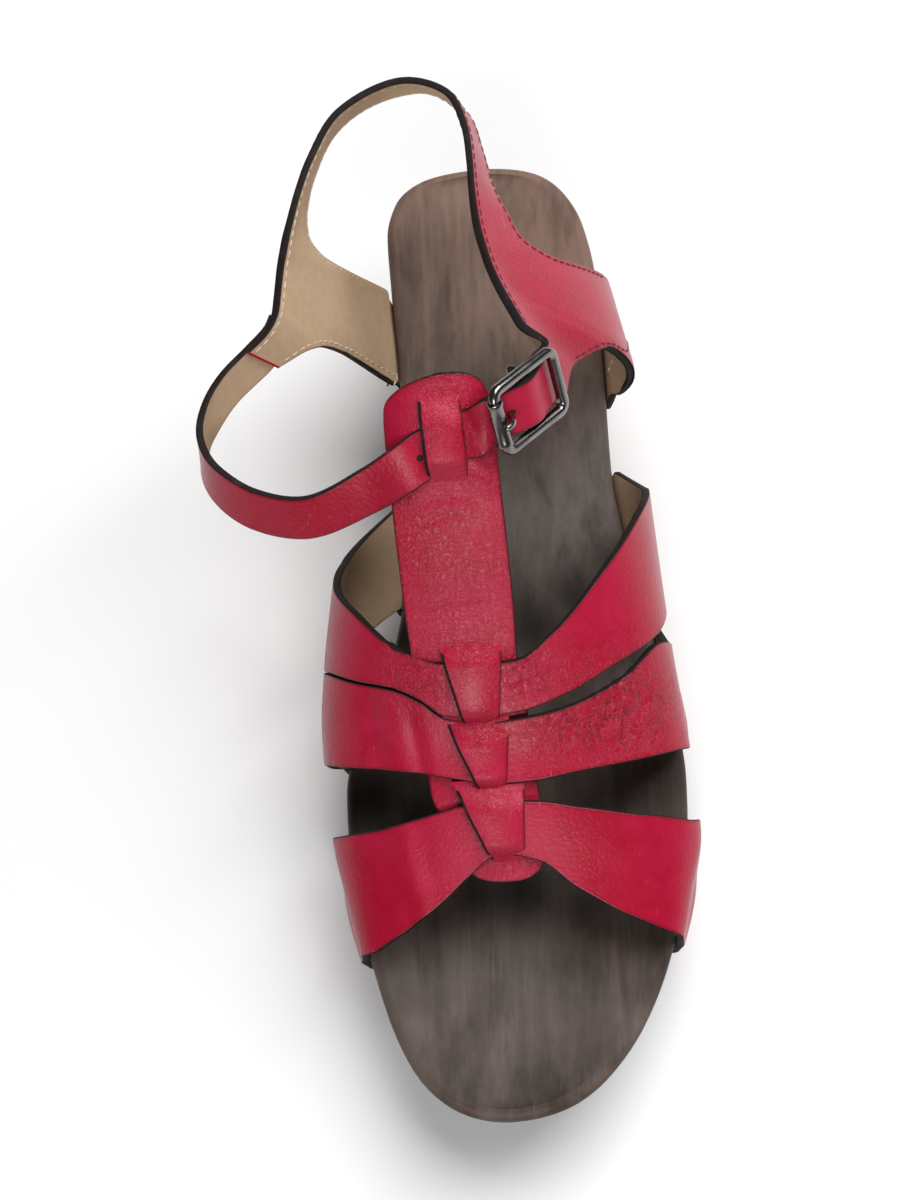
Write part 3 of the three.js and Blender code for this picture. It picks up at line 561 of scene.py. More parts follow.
def slot_path(side, y, thickness, lean=0.0, steps=8):
    """Way of a strap from beside the sole's edge down the wall and into its slot."""
    clear = SIDE_GAP + thickness / 2
    slot_z = top_at(y) - SLOT_DEPTH
    x = wall_x(side, y, SLOT_DEPTH - SLOT_BEND) + side * clear
    path = [(edge_x(side, y) + side * (clear + lean), y, top_at(y) - EDGE_RADIUS)]
    for k in range(steps + 1):
        a = np.pi / 2 * k / steps
        path.append((x - side * SLOT_BEND * (1 - np.cos(a)), y, slot_z + SLOT_BEND * (1 - np.sin(a))))
    path.append((x - side * (SLOT_BEND + SLOT_REACH), y, slot_z))
    return np.array(path, float)


def strap_grid(name, shares, over_steps=170, skirt_steps=10):
    """Middle points of a cross strap from slot to slot: rows along it, columns from heel to toe."""
    toe_edge = curve(STRAP_EDGES, "share", name + "Toe")
    heel_edge = curve(STRAP_EDGES, "share", name + "Heel")
    over = np.linspace(0, 1, over_steps + 1)
    columns = []
    for share in shares:
        y = mix(heel_edge(over), toe_edge(over), share)
        arch = last_point(y, over)
        ends = []
        for side, girth in ((-1, arch[0]), (1, arch[-1])):
            sweep = STRAP_SWEEP[name][0 if side < 0 else 1]
            slot = slot_path(side, girth[1] + sweep, UPPER_WALL)
            bend_z = mix(slot[0][2], girth[2], SKIRT_BEND)
            bend = np.array([girth[0], girth[1] + sweep * SKIRT_SWEEP, bend_z])
            t = np.linspace(0, 1, skirt_steps + 1)[1:-1, None]
            drop = girth * (1 - t) ** 2 + bend * 2 * t * (1 - t) + slot[0] * t**2
            ends.append(np.concatenate([drop, slot]))
        columns.append(np.concatenate([ends[0][::-1], arch, ends[1]]))
    return np.stack(columns, 1)


def t_point(y, share, lift=0.0):
    """Point on the T-strap's middle at a share of its half width, lifted square to the crest."""
    x = T_CURVES["x"](y) + share * T_CURVES["half"](y)
    crest = LAST_CURVES["crest"]
    slope = (crest(y + 1) - crest(y - 1)) / 2
    out = unit(np.stack([np.zeros_like(slope), -slope, np.ones_like(slope)], -1))
    middle = np.stack([x, y + 0 * x, crest(y) - T_CROWN * share**2], -1)
    return middle + out * (lift - T_CURVES["under"](y))[..., None]


def t_grid(shares, steps=170):
    """Middle points of the T-strap: rows from its top to the toe, narrowed to round its two ends."""
    toe, top = T_STRAP[0]["y"], T_STRAP[-1]["y"]
    close = np.array([0, 0.02, 0.08, 0.2, 0.4, 0.7, 1.1, 1.6, 2.2])
    y = np.concatenate([toe + close, np.linspace(toe, top, steps)[4:-4], top - close])
    y = np.sort(y)[::-1, None]
    past = np.maximum((toe + T_TOE_ROUND - y) / T_TOE_ROUND, (y - top + T_TOP_ROUND) / T_TOP_ROUND)
    kept = (1 - np.clip(past, 0, 1) ** T_ROUND_POWER) ** (1 / T_ROUND_POWER)
    part = (2 * shares - 1) * np.maximum(kept, T_TIP_SHARE)
    droop = T_TOP_DROOP * part**4 * smoothstep((y - T_DROOP_FROM) / T_DROOP_RUN)
    return t_point(y + T_TOP_SKEW * part * smoothstep((y - top) / T_TOP_ROUND + 1), part, -droop)


def bar_grid(bar, shares, steps=56):
    """Bar of the T-strap: tapered, raised in its middle, its ends flush with the leather they rise from.

    Gives the middle points and each row's height over its ends.
    """
    t = np.linspace(0, 1, steps + 1)
    y = mix(bar["heelY"], bar["toeY"], t)
    heel = smoothstep((bar["heelY"] - y) / bar["heelRamp"])
    toe = smoothstep((y - bar["toeY"]) / bar["toeRamp"])
    lift = np.minimum(mix(-bar["heelSink"], bar["raise"], heel), mix(-bar["toeSink"], bar["raise"], toe))
    height = lift + np.where(y > mix(bar["heelY"], bar["toeY"], 0.5), bar["heelSink"], bar["toeSink"])
    lift = lift + BAR_PROUD + T_CURVES["under"](y)
    half = mix(bar["heelHalf"], bar["toeHalf"], t)
    centre = mix(bar["heelX"], bar["toeX"], t)
    part = 2 * shares - 1
    x = centre[:, None] + half[:, None] * part
    over = (x - T_CURVES["x"](y)[:, None]) / T_CURVES["half"](y)[:, None]
    round_over = -(BAR_CROWN * part**2 + BAR_TILT * part) * smoothstep(height / bar["raise"])[:, None]
    return t_point(y[:, None] + 0 * x, over, lift[:, None] + round_over), height


def quarter_fall(at):
    """Top edge of the quarter and the point beside the sole's edge that it falls towards."""
    at = np.asarray(at, float)
    top = loop_top(at)
    y = loop_foot(at)
    lean = loop_lean(at)
    out = -(SIDE_GAP + QUARTER_WALL / 2) - lean
    inner = edge_point(-1, turn_of(y), out)
    outer = edge_point(1, turn_of(y), out)
    on_inner = at < LOOP_BACK
    plan = np.where(on_inner[..., None], inner, outer)
    foot = np.concatenate([plan, (top_at(y) - EDGE_RADIUS)[..., None]], -1)
    return np.where(on_inner, -1, 1), top, foot, lean


def quarter_point(at, down):
    """Point of the quarter at a way down from its top edge."""
    side, top, foot, _ = quarter_fall(at)
    length = np.linalg.norm(top - foot, axis=-1)
    share = np.minimum(down / length, 1)
    point = mix(top, foot, share[..., None])
    point[..., 0] += side * loop_bow(at) * BOW_PEAK * share**BOW_POWER * (1 - share)
    return point


def quarter_depth(at):
    _, top, foot, _ = quarter_fall(at)
    return np.minimum(loop_depth(at), np.linalg.norm(top - foot, axis=-1))


def across_of(direction, along):
    """Unit part of a direction that is square to another."""
    direction = np.asarray(direction, float)
    return unit(direction - np.sum(direction * along, -1, keepdims=True) * along)


BUCKLE_CENTRE = np.array([12.9, 29.2, 119.4])
BUCKLE_ALONG = unit(np.array([0.63, 0.69, -0.36]))
BUCKLE_ACROSS = across_of((-0.15, 0.57, 0.8), BUCKLE_ALONG)
BUCKLE_OUT = np.cross(BUCKLE_ALONG, BUCKLE_ACROSS)


def buckle_point(along, across, out):
    """Point given in the buckle's own directions."""
    along, across, out = np.broadcast_arrays(along, across, out)
    return (
        BUCKLE_CENTRE
        + along[..., None] * BUCKLE_ALONG
        + across[..., None] * BUCKLE_ACROSS
        + out[..., None] * BUCKLE_OUT
    )


def tip_wall(at):
    """Thickness of the quarter, pared along the sling and towards its inner tip under the ankle strap."""
    at = np.asarray(at)
    sling = smoothstep((at - SLING_FIRST) / SLING_RUN) * smoothstep((SLING_LAST - at) / SLING_RUN)
    return mix(TIP_WALL, QUARTER_WALL, np.clip(at / JOINT_SPAN, 0, 1)) - SLING_PARE * sling


def quarter_grid(shares, per_row=10, branch_steps=8, fold_steps=6):
    """Middle points of the quarter: rows round the heel, then the branch folded round the centre bar."""
    at = np.linspace(0, LOOP_LAST, LOOP_LAST * per_row + 1)
    depth = quarter_depth(at)
    grid = quarter_point(at[:, None] + 0 * shares, depth[:, None] * shares)
    radius = CENTRE_BAR_WIRE + 1.5 * GAP + FOLD_WALL / 2
    keys = [(row["along"], row["out"], row["top"], row["low"]) for row in BRANCH]
    for k in range(fold_steps + 1):
        a = np.pi * k / fold_steps
        keys.append((-radius * np.sin(a), -CENTRE_BAR_DROP + radius * np.cos(a), FOLD_REACH, FOLD_REACH))
    keys.append((FOLD_TAIL, -CENTRE_BAR_DROP - radius - FOLD_TAIL_DROP, FOLD_REACH, FOLD_REACH))
    fold = [buckle_point(along, mix(top, -low, shares), out) for along, out, top, low in keys]
    rows = [grid[-2 * per_row - 1], grid[-per_row - 1], grid[-1], *fold]
    run = spline(np.array(rows).reshape(len(rows), -1))
    u = np.linspace(2, len(rows) - 1, (len(rows) - 3) * branch_steps + 1)[1:]
    branch = run(u).reshape(len(u), len(shares), 3)
    pared = mix(QUARTER_WALL, FOLD_WALL, np.clip((u - 2) / len(BRANCH), 0, 1))
    wall = np.concatenate([tip_wall(at), pared])
    return np.concatenate([grid, branch]), wall


def hem_grid(span, steps=24):
    """Hem of a quarter: from the wall beside the sole into its slot."""
    rows = []
    for at in np.linspace(span[0], span[1], steps + 1):
        side, top, foot, lean = quarter_fall(at)
        length = np.linalg.norm(top - foot)
        above = quarter_point(np.array(at), np.array(length - HEM_OVERLAP))
        rows.append(np.concatenate([[above], slot_path(int(side), foot[1], QUARTER_WALL, float(lean))]))
    return np.array(rows)


def ankle_edges():
    """Upper and lower edge of the ankle strap, from the inner quarter to the buckle."""
    rows = []
    half = ANKLE_WIDTH / 2
    step, down = 0.3, np.array(6.0)
    for at in (JOINT_SPAN, JOINT_SPAN / 2, 0.0):
        offset = (tip_wall(at) + mix(ANKLE_WALL, ANKLE_TIP_WALL, at / JOINT_SPAN)) / 2 + JOINT_GAP
        top = quarter_point(np.array(at), np.array(JOINT_INSET))
        low = quarter_point(np.array(at), np.array(ANKLE_WIDTH + JOINT_INSET))
        ahead = quarter_point(np.array(max(at - step, 0)), down)
        along = unit(ahead - quarter_point(np.array(at + step), down))
        across = across_of(top - low, along)
        rows.append(((top + low) / 2 + unit(np.cross(along, across)) * offset, across))
    free = [np.array([row["x"], row["y"], row["z"]], float) for row in ANKLE]
    following = np.array([CROSSING[0]["x"], CROSSING[0]["y"], free[-1][2]])
    for row, before, here, after in zip(ANKLE, [rows[2][0], *free], free, [*free[1:], following]):
        along = unit((after - before) * (1, 1, 0))
        outward = np.array([along[1], -along[0], 0])
        lean = math.radians(row["lean"])
        rows.append((here, np.array([0, 0, math.cos(lean)]) - outward * math.sin(lean)))
    crest = LAST_CURVES["crest"]
    level = unit(CROSSING_ALONG)
    for row in CROSSING:
        y = np.array(float(row["y"]))
        on = t_point(y, (row["x"] - T_CURVES["x"](y)) / T_CURVES["half"](y))
        slope = float((crest(y + 1) - crest(y - 1)) / 2)
        out = unit(np.array([0, -slope, 1.0]))
        rows.append((on + out * row["over"], across_of((0, 1, slope), level)))
    for row in THREADING:
        rows.append((buckle_point(row["along"], 0.0, row["out"]), BUCKLE_ACROSS))
    edges = [spline([centre + across * side * half for centre, across in rows]) for side in (1, -1)]
    return edges, len(rows)


def ankle_grid(shares, per_row=14):
    """Middle points of the ankle strap: rows along it, columns from its upper to its lower edge."""
    (top, low), count = ankle_edges()
    u = np.linspace(0, count - 1, (count - 1) * per_row + 1)
    wall = mix(ANKLE_TIP_WALL, ANKLE_WALL, np.clip(u / 2, 0, 1))
    return mix(top(u)[:, None, :], low(u)[:, None, :], shares[None, :, None]), wall


# Meshes


SHIFT = np.array([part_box("sole")[0].x / MM - min(row["inner"] for row in OUTLINE), 0, 0])


def row_frame(points):
    """Points of the shoe's tables in the part's own frame, in metres."""
    return (np.asarray(points, float) + SHIFT) * MM


def grid_normals(grid):
    """Unit normals of a grid of points: rows crossed with columns."""
    last_row, last_col = grid.shape[0] - 1, grid.shape[1] - 1
    i, j = np.arange(last_row + 1), np.arange(last_col + 1)
    along = grid[np.minimum(i + 1, last_row)] - grid[np.maximum(i - 1, 0)]
    across = grid[:, np.minimum(j + 1, last_col)] - grid[:, np.maximum(j - 1, 0)]
    return unit(np.cross(along, across))


def quads(a, b, c, d):
    return np.stack([x.ravel() for x in (a, b, c, d)], 1)


def spots_at(points, spots):
    """How strongly a table of round spots acts at each point."""
    total = np.zeros(points.shape[:-1])
    for row in spots:
        away = np.linalg.norm(points - (row["x"], row["y"], row["z"]), axis=-1)
        total = np.maximum(total, row["strength"] * np.exp(-((away / row["radius"]) ** 2)))
    return total


def creased(grid, face, creases):
    """A grid with soft troughs and ridges in its face."""
    lift = np.zeros(grid.shape[:2])
    for row in creases:
        dx, dy = grid[..., 0] - row["x"], grid[..., 1] - row["y"]
        c, s = math.cos(math.radians(row["turn"])), math.sin(math.radians(row["turn"]))
        along, off = dx * c + dy * s, (dy * c - dx * s) / row["width"]
        fade = np.exp(-((2 * along / row["length"]) ** 4))
        lift -= row["depth"] * fade * (1 - 1.2 * off**2) * np.exp(-(off**2))
    return grid + grid_normals(grid) * face * lift[..., None]


def bordered(grid):
    """The same sheet with its columns at set distances from the two long borders."""
    way = np.cumsum(np.linalg.norm(np.diff(grid, axis=1, prepend=grid[:, :1]), axis=-1), axis=1)
    made = []
    for row, run in zip(grid, way):
        close = BORDER * min(1, 0.45 * run[-1] / BORDER[-1])
        stops = np.linspace(close[-1], run[-1] - close[-1], len(run) // 2)[1:-1]
        stops = np.concatenate([close, stops, run[-1] - close[::-1]])
        made.append(np.stack([np.interp(stops, run, row[:, k]) for k in range(3)], 1))
    return np.array(made)


def rim_of(grid, ends):
    """Distance of each point of a sheet from its borders, with or without its two ends."""
    borders = [grid[:, 0], grid[:, -1]]
    if ends:
        borders += [grid[0], grid[-1]]
    points = grid.reshape(-1, 1, 3)
    nearest = np.full(len(points), np.inf)
    for border in borders:
        start, step = border[:-1], np.diff(border, axis=0)
        size = np.maximum((step**2).sum(-1), 1e-12)
        share = np.clip(((points - start) * step).sum(-1) / size, 0, 1)
        away = np.linalg.norm(points - start - share[..., None] * step, axis=-1)
        nearest = np.minimum(nearest, away.min(1))
    return nearest.reshape(grid.shape[:2])


def ribbon(grid, thickness, face=1, ends=True, free=None, turned=0):
    """Closed leather wall about a grid of middle points, with softened borders where its rows are free.

    The inside of the first rows may be turned over in red. Gives points, faces, the kind of each face
    (0 outside, 1 inside, 2 cut edge) and fields per point.
    """
    grid = bordered(grid)
    rows, cols, _ = grid.shape
    normal = grid_normals(grid) * face
    v = np.cumsum(np.linalg.norm(np.diff(grid, axis=1, prepend=grid[:, :1]), axis=-1), axis=1)
    u = np.cumsum(np.linalg.norm(np.diff(grid, axis=0, prepend=grid[:1]), axis=-1), axis=0)
    rim = rim_of(grid, ends)
    if free is not None:
        rim += FLUSH_RIM * (1 - smoothstep(free))[:, None]
    depth = 1 - np.clip(rim / EDGE_ROUND, 0, 1)
    soften = EDGE_ROUND * (1 - np.sqrt(1 - depth**2))
    half = np.broadcast_to(np.asarray(thickness, float).reshape(-1, 1) / 2, (rows, cols)) - soften
    points = np.concatenate([grid + normal * half[..., None], grid - normal * half[..., None]])
    points = points.reshape(-1, 3)
    outer = np.arange(rows * cols).reshape(rows, cols)
    inner = outer + rows * cols
    sheets = [
        quads(outer[:-1, :-1], outer[1:, :-1], outer[1:, 1:], outer[:-1, 1:]),
        quads(inner[:-1, :-1], inner[:-1, 1:], inner[1:, 1:], inner[1:, :-1]),
        quads(outer[:-1, 0], inner[:-1, 0], inner[1:, 0], outer[1:, 0]),
        quads(outer[1:, -1], inner[1:, -1], inner[:-1, -1], outer[:-1, -1]),
        quads(outer[0, 1:], inner[0, 1:], inner[0, :-1], outer[0, :-1]),
        quads(outer[-1, :-1], inner[-1, :-1], inner[-1, 1:], outer[-1, 1:]),
    ]
    colours = (0, 1, 2, 2, 2, 2) if ends else (0, 1, 2, 2, 0, 0)
    kinds = np.concatenate([np.full(len(sheet), kind) for kind, sheet in zip(colours, sheets)])
    close = rim < EDGE_PAINT
    # Painted shadow: where a bar stands free, a strip along its inner border takes the cut edge's dark finish
    if free is not None:
        close[:, : len(BORDER)] |= (free > BAR_SLIT_SHADOW)[:, None]
    painted = (close[:-1, :-1] & close[1:, :-1] & close[1:, 1:] & close[:-1, 1:]).ravel()
    kinds[: 2 * len(painted)][np.tile(painted, 2)] = 2
    kinds[len(painted): len(painted) + turned * (cols - 1)] = 0
    faces = np.concatenate(sheets)
    if face < 0:
        faces = faces[:, ::-1]
    fields = {
        "rim": np.tile(rim.ravel(), 2),
        "uv": np.tile(np.stack([u.ravel(), v.ravel()], 1) * MM, (2, 1)),
    }
    # The stain field carries the painted shade on the lining
    for name, spots in (("crinkle", CRINKLES), ("crack", CRACKS), ("stain", LINING_SHADE)):
        fields[name] = np.tile(spots_at(grid, spots).ravel(), 2)
    return points, faces, kinds, fields


def joined(bodies):
    """Several bodies as one: points and faces, then face kinds and fields where the bodies have them."""
    starts = np.cumsum([0] + [len(body[0]) for body in bodies])
    points = np.concatenate([body[0] for body in bodies])
    faces = np.concatenate([body[1] + start for body, start in zip(bodies, starts)])
    if len(bodies[0]) == 2:
        return points, faces
    kinds = np.concatenate([body[2] for body in bodies])
    fields = {name: np.concatenate([body[3][name] for body in bodies]) for name in bodies[0][3]}
    return points, faces, kinds, fields


def ring_faces(rings, size, closed=False):
    """Quads between rings of points; closed joins the last ring to the first."""
    index = np.arange(rings * size).reshape(rings, size)
    after = np.roll(index, -1, 0) if closed else index[1:]
    index = index if closed else index[:-1]
    return quads(index, np.roll(index, -1, 1), np.roll(after, -1, 1), after)


def tube(path, radius, sides=16):
    """Round wire along a path of points, its ends rounded off."""
    path = np.asarray(path, float)
    along = unit(np.gradient(path, axis=0))
    seed = np.array([0.31, 0.17, 0.93])
    first = unit(np.cross(along, seed))
    second = np.cross(along, first)
    lead = np.array([0.0, 0.35, 0.7, 0.93, 1.0])
    reach = np.sqrt(1 - (1 - lead) ** 2)
    rings = []
    for share, out in zip(lead[:-1], reach[:-1]):
        rings.append((path[0] + along[0] * radius * (share - 1), 0, out))
    rings += [(point, k, 1.0) for k, point in enumerate(path)]
    for share, out in zip(lead[-2::-1], reach[-2::-1]):
        rings.append((path[-1] + along[-1] * radius * (1 - share), len(path) - 1, out))
    t = np.arange(sides) * 2 * np.pi / sides
    points = []
    for centre, k, out in rings:
        flat = np.cos(t)[:, None] * first[k] + np.sin(t)[:, None] * second[k]
        points.append(centre + flat * radius * max(out, 0.02))
    return np.concatenate(points), ring_faces(len(rings), sides)


def sole_side(side, stations, edge_steps=7, wall_steps=10):
    """One side of the sole at each station: points round its edge, down the wall and in to the chamfer."""
    inset = inset_at(SOLE_HALF * np.cos(stations))
    loop = []
    for a in np.linspace(0, np.pi / 2, edge_steps + 1):
        plan = edge_point(side, stations, np.full_like(stations, EDGE_RADIUS * (1 - math.sin(a))))
        drop = EDGE_RADIUS * (1 - math.cos(a))
        loop.append(np.column_stack([plan, top_at(plan[:, 1]) - drop]))
    for part in np.linspace(0, 1, wall_steps + 1)[1:]:
        plan = edge_point(side, stations, inset * part)
        low = under_at(plan[:, 1]) + FOOT_CHAMFER
        loop.append(np.column_stack([plan, mix(top_at(plan[:, 1]) - EDGE_RADIUS, low, part)]))
    plan = edge_point(side, stations, inset + FOOT_CHAMFER)
    loop.append(np.column_stack([plan, under_at(plan[:, 1])]))
    return np.stack(loop, 1)


def sole_rings(steps=180, strips=24, crest=3):
    """Rings of points round the sole from heel to toe, and their distance from the crest of its edge."""
    turns = [float(turn_of(row["y"])) for row in PROFILE]
    turns = np.concatenate([np.linspace(0, np.pi, steps + 1), turns])
    stations = np.clip(np.unique(np.round(turns, 6)), 0, np.pi)
    inner, outer = sole_side(-1, stations), sole_side(1, stations)
    dish = FOOTBED_DISH * np.minimum(np.linalg.norm(inner[:, 0] - outer[:, 0], axis=1) / DISH_WIDTH, 1)
    top, under = [], []
    for part in np.linspace(0, 1, strips + 1)[1:-1]:
        across = mix(inner[:, 0], outer[:, 0], part)
        across[:, 2] = top_at(across[:, 1]) - dish * (1 - (2 * part - 1) ** 2)
        top.append(across)
        below = mix(inner[:, -1], outer[:, -1], 1 - part)
        below[:, 2] = under_at(below[:, 1])
        under.append(below)
    rings = np.concatenate([inner[:, ::-1], np.stack(top, 1), outer, np.stack(under, 1)], 1)
    way = np.linalg.norm(np.diff(rings, axis=1, prepend=rings[:, -1:]), axis=-1).cumsum(1)
    count = inner.shape[1]
    crests = (count - 1 - crest, count + len(top) + crest)
    return rings, np.minimum(*(np.abs(way - way[:, [k]]) for k in crests))


def buckle_wire(sides=20, corner_steps=8, bar_steps=8, post_steps=4):
    """Frame of squarish wire with round corners, and its centre bar on two posts."""
    long, wide, corner = BUCKLE_HALF_LENGTH, BUCKLE_HALF_WIDTH, BUCKLE_CORNER
    t = np.arange(sides) * 2 * np.pi / sides
    across, up = (np.sign(f) * np.abs(f) ** BUCKLE_SQUARE * BUCKLE_WIRE for f in (np.cos(t), np.sin(t)))
    rings = []
    for quarter, (sx, sy) in enumerate(((1, 1), (-1, 1), (-1, -1), (1, -1))):
        for k in range(corner_steps + 1):
            a = np.pi / 2 * (quarter + k / corner_steps)
            x = sx * (long - corner) + corner * np.cos(a)
            y = sy * (wide - corner) + corner * np.sin(a)
            rings.append(buckle_point(x + across * np.cos(a), y + across * np.sin(a), up))
    bodies = [(np.concatenate(rings), ring_faces(len(rings), sides, closed=True))]
    bar = np.linspace(-1, 1, bar_steps + 1) * wide
    bodies.append(tube(buckle_point(0.0, bar, -CENTRE_BAR_DROP), CENTRE_BAR_WIRE))
    for side in (-1, 1):
        rise = np.linspace(-CENTRE_BAR_DROP, 0, post_steps + 1)
        bodies.append(tube(buckle_point(0.0, side * wide, rise), CENTRE_BAR_WIRE))
    return joined(bodies)


def buckle_sleeve(sides=32):
    """Roller: a bored sleeve with a lip at each end."""
    half, low = ROLLER_LENGTH / 2, ROLLER_OUTER - ROLLER_LIP
    end = [(BUCKLE_WIRE + GAP, -half), (ROLLER_OUTER - ROLLER_ROUND, -half),
           (ROLLER_OUTER, -half + ROLLER_LIP), (low, -half + ROLLER_LIP_LENGTH)]
    profile = end + [(r, -h) for r, h in reversed(end)]
    t = np.arange(sides) * 2 * np.pi / sides
    rings = [buckle_point(-BUCKLE_HALF_LENGTH + r * np.cos(t), h, r * np.sin(t)) for r, h in profile]
    return np.concatenate(rings), ring_faces(len(rings), sides, closed=True)[:, ::-1]


def buckle_pin(eye_steps=10, steps=90):
    """Prong: its eye round the centre bar, up through the strap's hole, its tip on the roller."""
    radius = CENTRE_BAR_WIRE + GAP + PRONG_WIRE
    turns = np.pi * np.linspace(*PRONG_EYE_TURNS, eye_steps + 1)
    way = [(radius * np.cos(a), -CENTRE_BAR_DROP + radius * np.sin(a)) for a in turns]
    rest = ROLLER_OUTER + GAP + PRONG_WIRE
    way += [*PRONG_RISE, (PRONG_LANDING[0] - BUCKLE_HALF_LENGTH, rest - PRONG_LANDING[1])]
    way += [(past - BUCKLE_HALF_LENGTH, rest) for past in PRONG_ON_ROLLER]
    route = spline([buckle_point(along, 0.0, out) for along, out in way])
    return tube(route(np.linspace(0, len(way) - 1, steps)), PRONG_WIRE)


def make_piece(name, points, faces, materials, kinds=None, fields=None, smooth_angle=38):
    """New object at the origin whose mesh holds the points in the part's frame."""
    mesh = bpy.data.meshes.new(name)
    mesh.from_pydata(row_frame(points).tolist(), [], np.asarray(faces).tolist())
    for material in materials:
        mesh.materials.append(material)
    if kinds is not None:
        mesh.polygons.foreach_set("material_index", np.asarray(kinds, np.int32))
    for field, values in (fields or {}).items():
        if field == "uv":
            corner = np.zeros(len(mesh.loops), np.int32)
            mesh.loops.foreach_get("vertex_index", corner)
            layer = mesh.uv_layers.new(name="surface")
            layer.data.foreach_set("uv", values[corner].astype(np.float32).ravel())
        else:
            made = mesh.attributes.new(field, "FLOAT", "POINT")
            made.data.foreach_set("value", values.astype(np.float32))
    mesh.polygons.foreach_set("use_smooth", np.ones(len(mesh.polygons), bool))
    mesh.set_sharp_from_angle(angle=math.radians(smooth_angle))
    mesh.validate()
    mesh.update()
    piece = bpy.data.objects.new(name, mesh)
    bpy.context.scene.collection.objects.link(piece)
    return piece


def settle(piece, slot, *nodes):
    """The piece goes with the shoe and stands for its CAD nodes, which it hides; the slot is not used."""
    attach(piece, "root")
    if nodes:
        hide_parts(*nodes)
    return piece


# Sizes and colours that a user would change


def colour(label, text, value):
    return bpy.props.FloatVectorProperty(
        name=label, description=text, subtype="COLOR", size=3, min=0, max=1, default=value
    )


def share_of_one(label, text, value):
    return bpy.props.FloatProperty(
        name=label, description=text, subtype="FACTOR", min=0, max=1, default=value
    )


def length_mm(label, text, value):
    return bpy.props.FloatProperty(
        name=label, description=text, subtype="DISTANCE", unit="LENGTH", precision=5, default=value * MM
    )


def strength(label, text, value, unit="NONE"):
    return bpy.props.FloatProperty(name=label, description=text, unit=unit, min=0, default=value)


class SandalLeather(bpy.types.PropertyGroup):
    """Leather of the straps."""

    red: colour("Red", "Leather's own red", (0.345, 0.003, 0.021))
    bright: colour("Bright red", "Red where the finish is fuller", (0.43, 0.008, 0.044))
    # Rubbed red also serves as the painted glint on crinkled ridges
    rubbed: colour("Rubbed red", "Ridges and scratches of the finish", (0.6, 0.13, 0.18))
    lining: colour("Lining", "Inside of the straps", (0.53, 0.37, 0.235))
    stain: colour("Stain", "Marks on the lining", (0.3, 0.17, 0.09))
    edge: colour("Cut edge", "Painted edges of the leather", (0.014, 0.01, 0.01))
    rubbed_edge: colour("Rubbed edge", "Edge paint where it is rubbed", (0.05, 0.038, 0.03))
    # Painted shade: colour of the dark spots that stand for the holes
    hole: colour("Hole", "Inside of a punched hole", (0.02, 0.004, 0.004))
    thread: colour("Thread", "Seams on the outside", (0.13, 0.003, 0.01))
    pale_thread: colour("Pale thread", "Seams on the lining", (0.72, 0.6, 0.44))
    roughness: share_of_one("Roughness", "Roughness of the finish", 0.36)


class SandalWood(bpy.types.PropertyGroup):
    """Stained wood of the sole."""

    dark: colour("Dark stain", "Stain in the grain", (0.042, 0.031, 0.026))
    light: colour("Light stain", "Stain between the grain", (0.136, 0.109, 0.096))
    warm: colour("Warm", "Wood where the stain is thin", (0.28, 0.165, 0.118))
    # Painted light: a paler stain laid on the waist of the footbed where the straps shade it
    faded: colour("Faded", "Stain worn by the foot", (0.24, 0.208, 0.192))
    scratch: colour("Scratch", "Scratches in the stain", (0.2, 0.14, 0.11))
    roughness: share_of_one("Roughness", "Roughness of the stain", 0.48)


class SandalMetal(bpy.types.PropertyGroup):
    """Dark metal of the buckle."""

    tint: colour("Tint", "Colour of the plated metal", (0.25, 0.24, 0.23))
    roughness: share_of_one("Roughness", "Polish of the plating", 0.18)


class SandalStitch(bpy.types.PropertyGroup):
    """Stitches, and the spots of painted shade that stand for punched holes."""

    pitch: length_mm("Pitch", "From one stitch to the next", 2.7)
    stitch: length_mm("Stitch", "Length of one stitch", 2.3)
    width: length_mm("Thread", "Width of the thread", 0.65)
    inset: length_mm("Inset", "From the leather's edge to the seam", 1.6)
    hole: length_mm("Hole", "Diameter of a punched hole", 1.8)


class SandalStage(bpy.types.PropertyGroup):
    """Floor and light."""

    floor: colour("Floor", "Colour of the floor", (0.93, 0.93, 0.93))
    sky: strength("Sky", "Even light from all round", 0.07)
    key: strength("Key", "Light over heel and outer side", 17.5, "POWER")
    front: strength("Front", "Large light over the toe", 7.0, "POWER")


SETTINGS = {
    "sandal_leather": SandalLeather,
    "sandal_wood": SandalWood,
    "sandal_metal": SandalMetal,
    "sandal_stitch": SandalStitch,
    "sandal_stage": SandalStage,
}


def settings(name):
    return getattr(bpy.context.scene, "sandal_" + name)


# Shader building blocks


def fill(tree, node, inputs):
    """Links sockets to a node's inputs, and sets plain values on them."""
    for name, value in inputs.items():
        if isinstance(value, bpy.types.NodeSocket):
            tree.links.new(value, node.inputs[name])
        else:
            node.inputs[name].default_value = value


def place(tree, kind, inputs=None, **fields):
    """Adds a node, sets its fields, and fills its inputs."""
    made = tree.nodes.new(kind)
    for field, value in fields.items():
        setattr(made, field, value)
    fill(tree, made, inputs or {})
    return made


def maths(tree, operation, a, b=0.0):
    return place(tree, "ShaderNodeMath", {0: a, 1: b}, operation=operation).outputs[0]


def plus(tree, a, b):
    return maths(tree, "ADD", a, b)


def times(tree, a, b):
    return maths(tree, "MULTIPLY", a, b)


def off_middle(tree, wave):
    """Distance of a wave from its middle value, which is small along thin winding lines."""
    return maths(tree, "ABSOLUTE", maths(tree, "SUBTRACT", wave, 0.5))


def shaded(tint, light):
    """A colour with only a share of its light."""
    return tuple(c * light for c in tint)


def blended(tree, factor, a, b):
    """Colour mixed from a to b."""
    inputs = {0: factor}
    for index, value in ((6, a), (7, b)):
        inputs[index] = value if isinstance(value, bpy.types.NodeSocket) else (*value, 1)
    return place(tree, "ShaderNodeMix", inputs, data_type="RGBA").outputs[2]


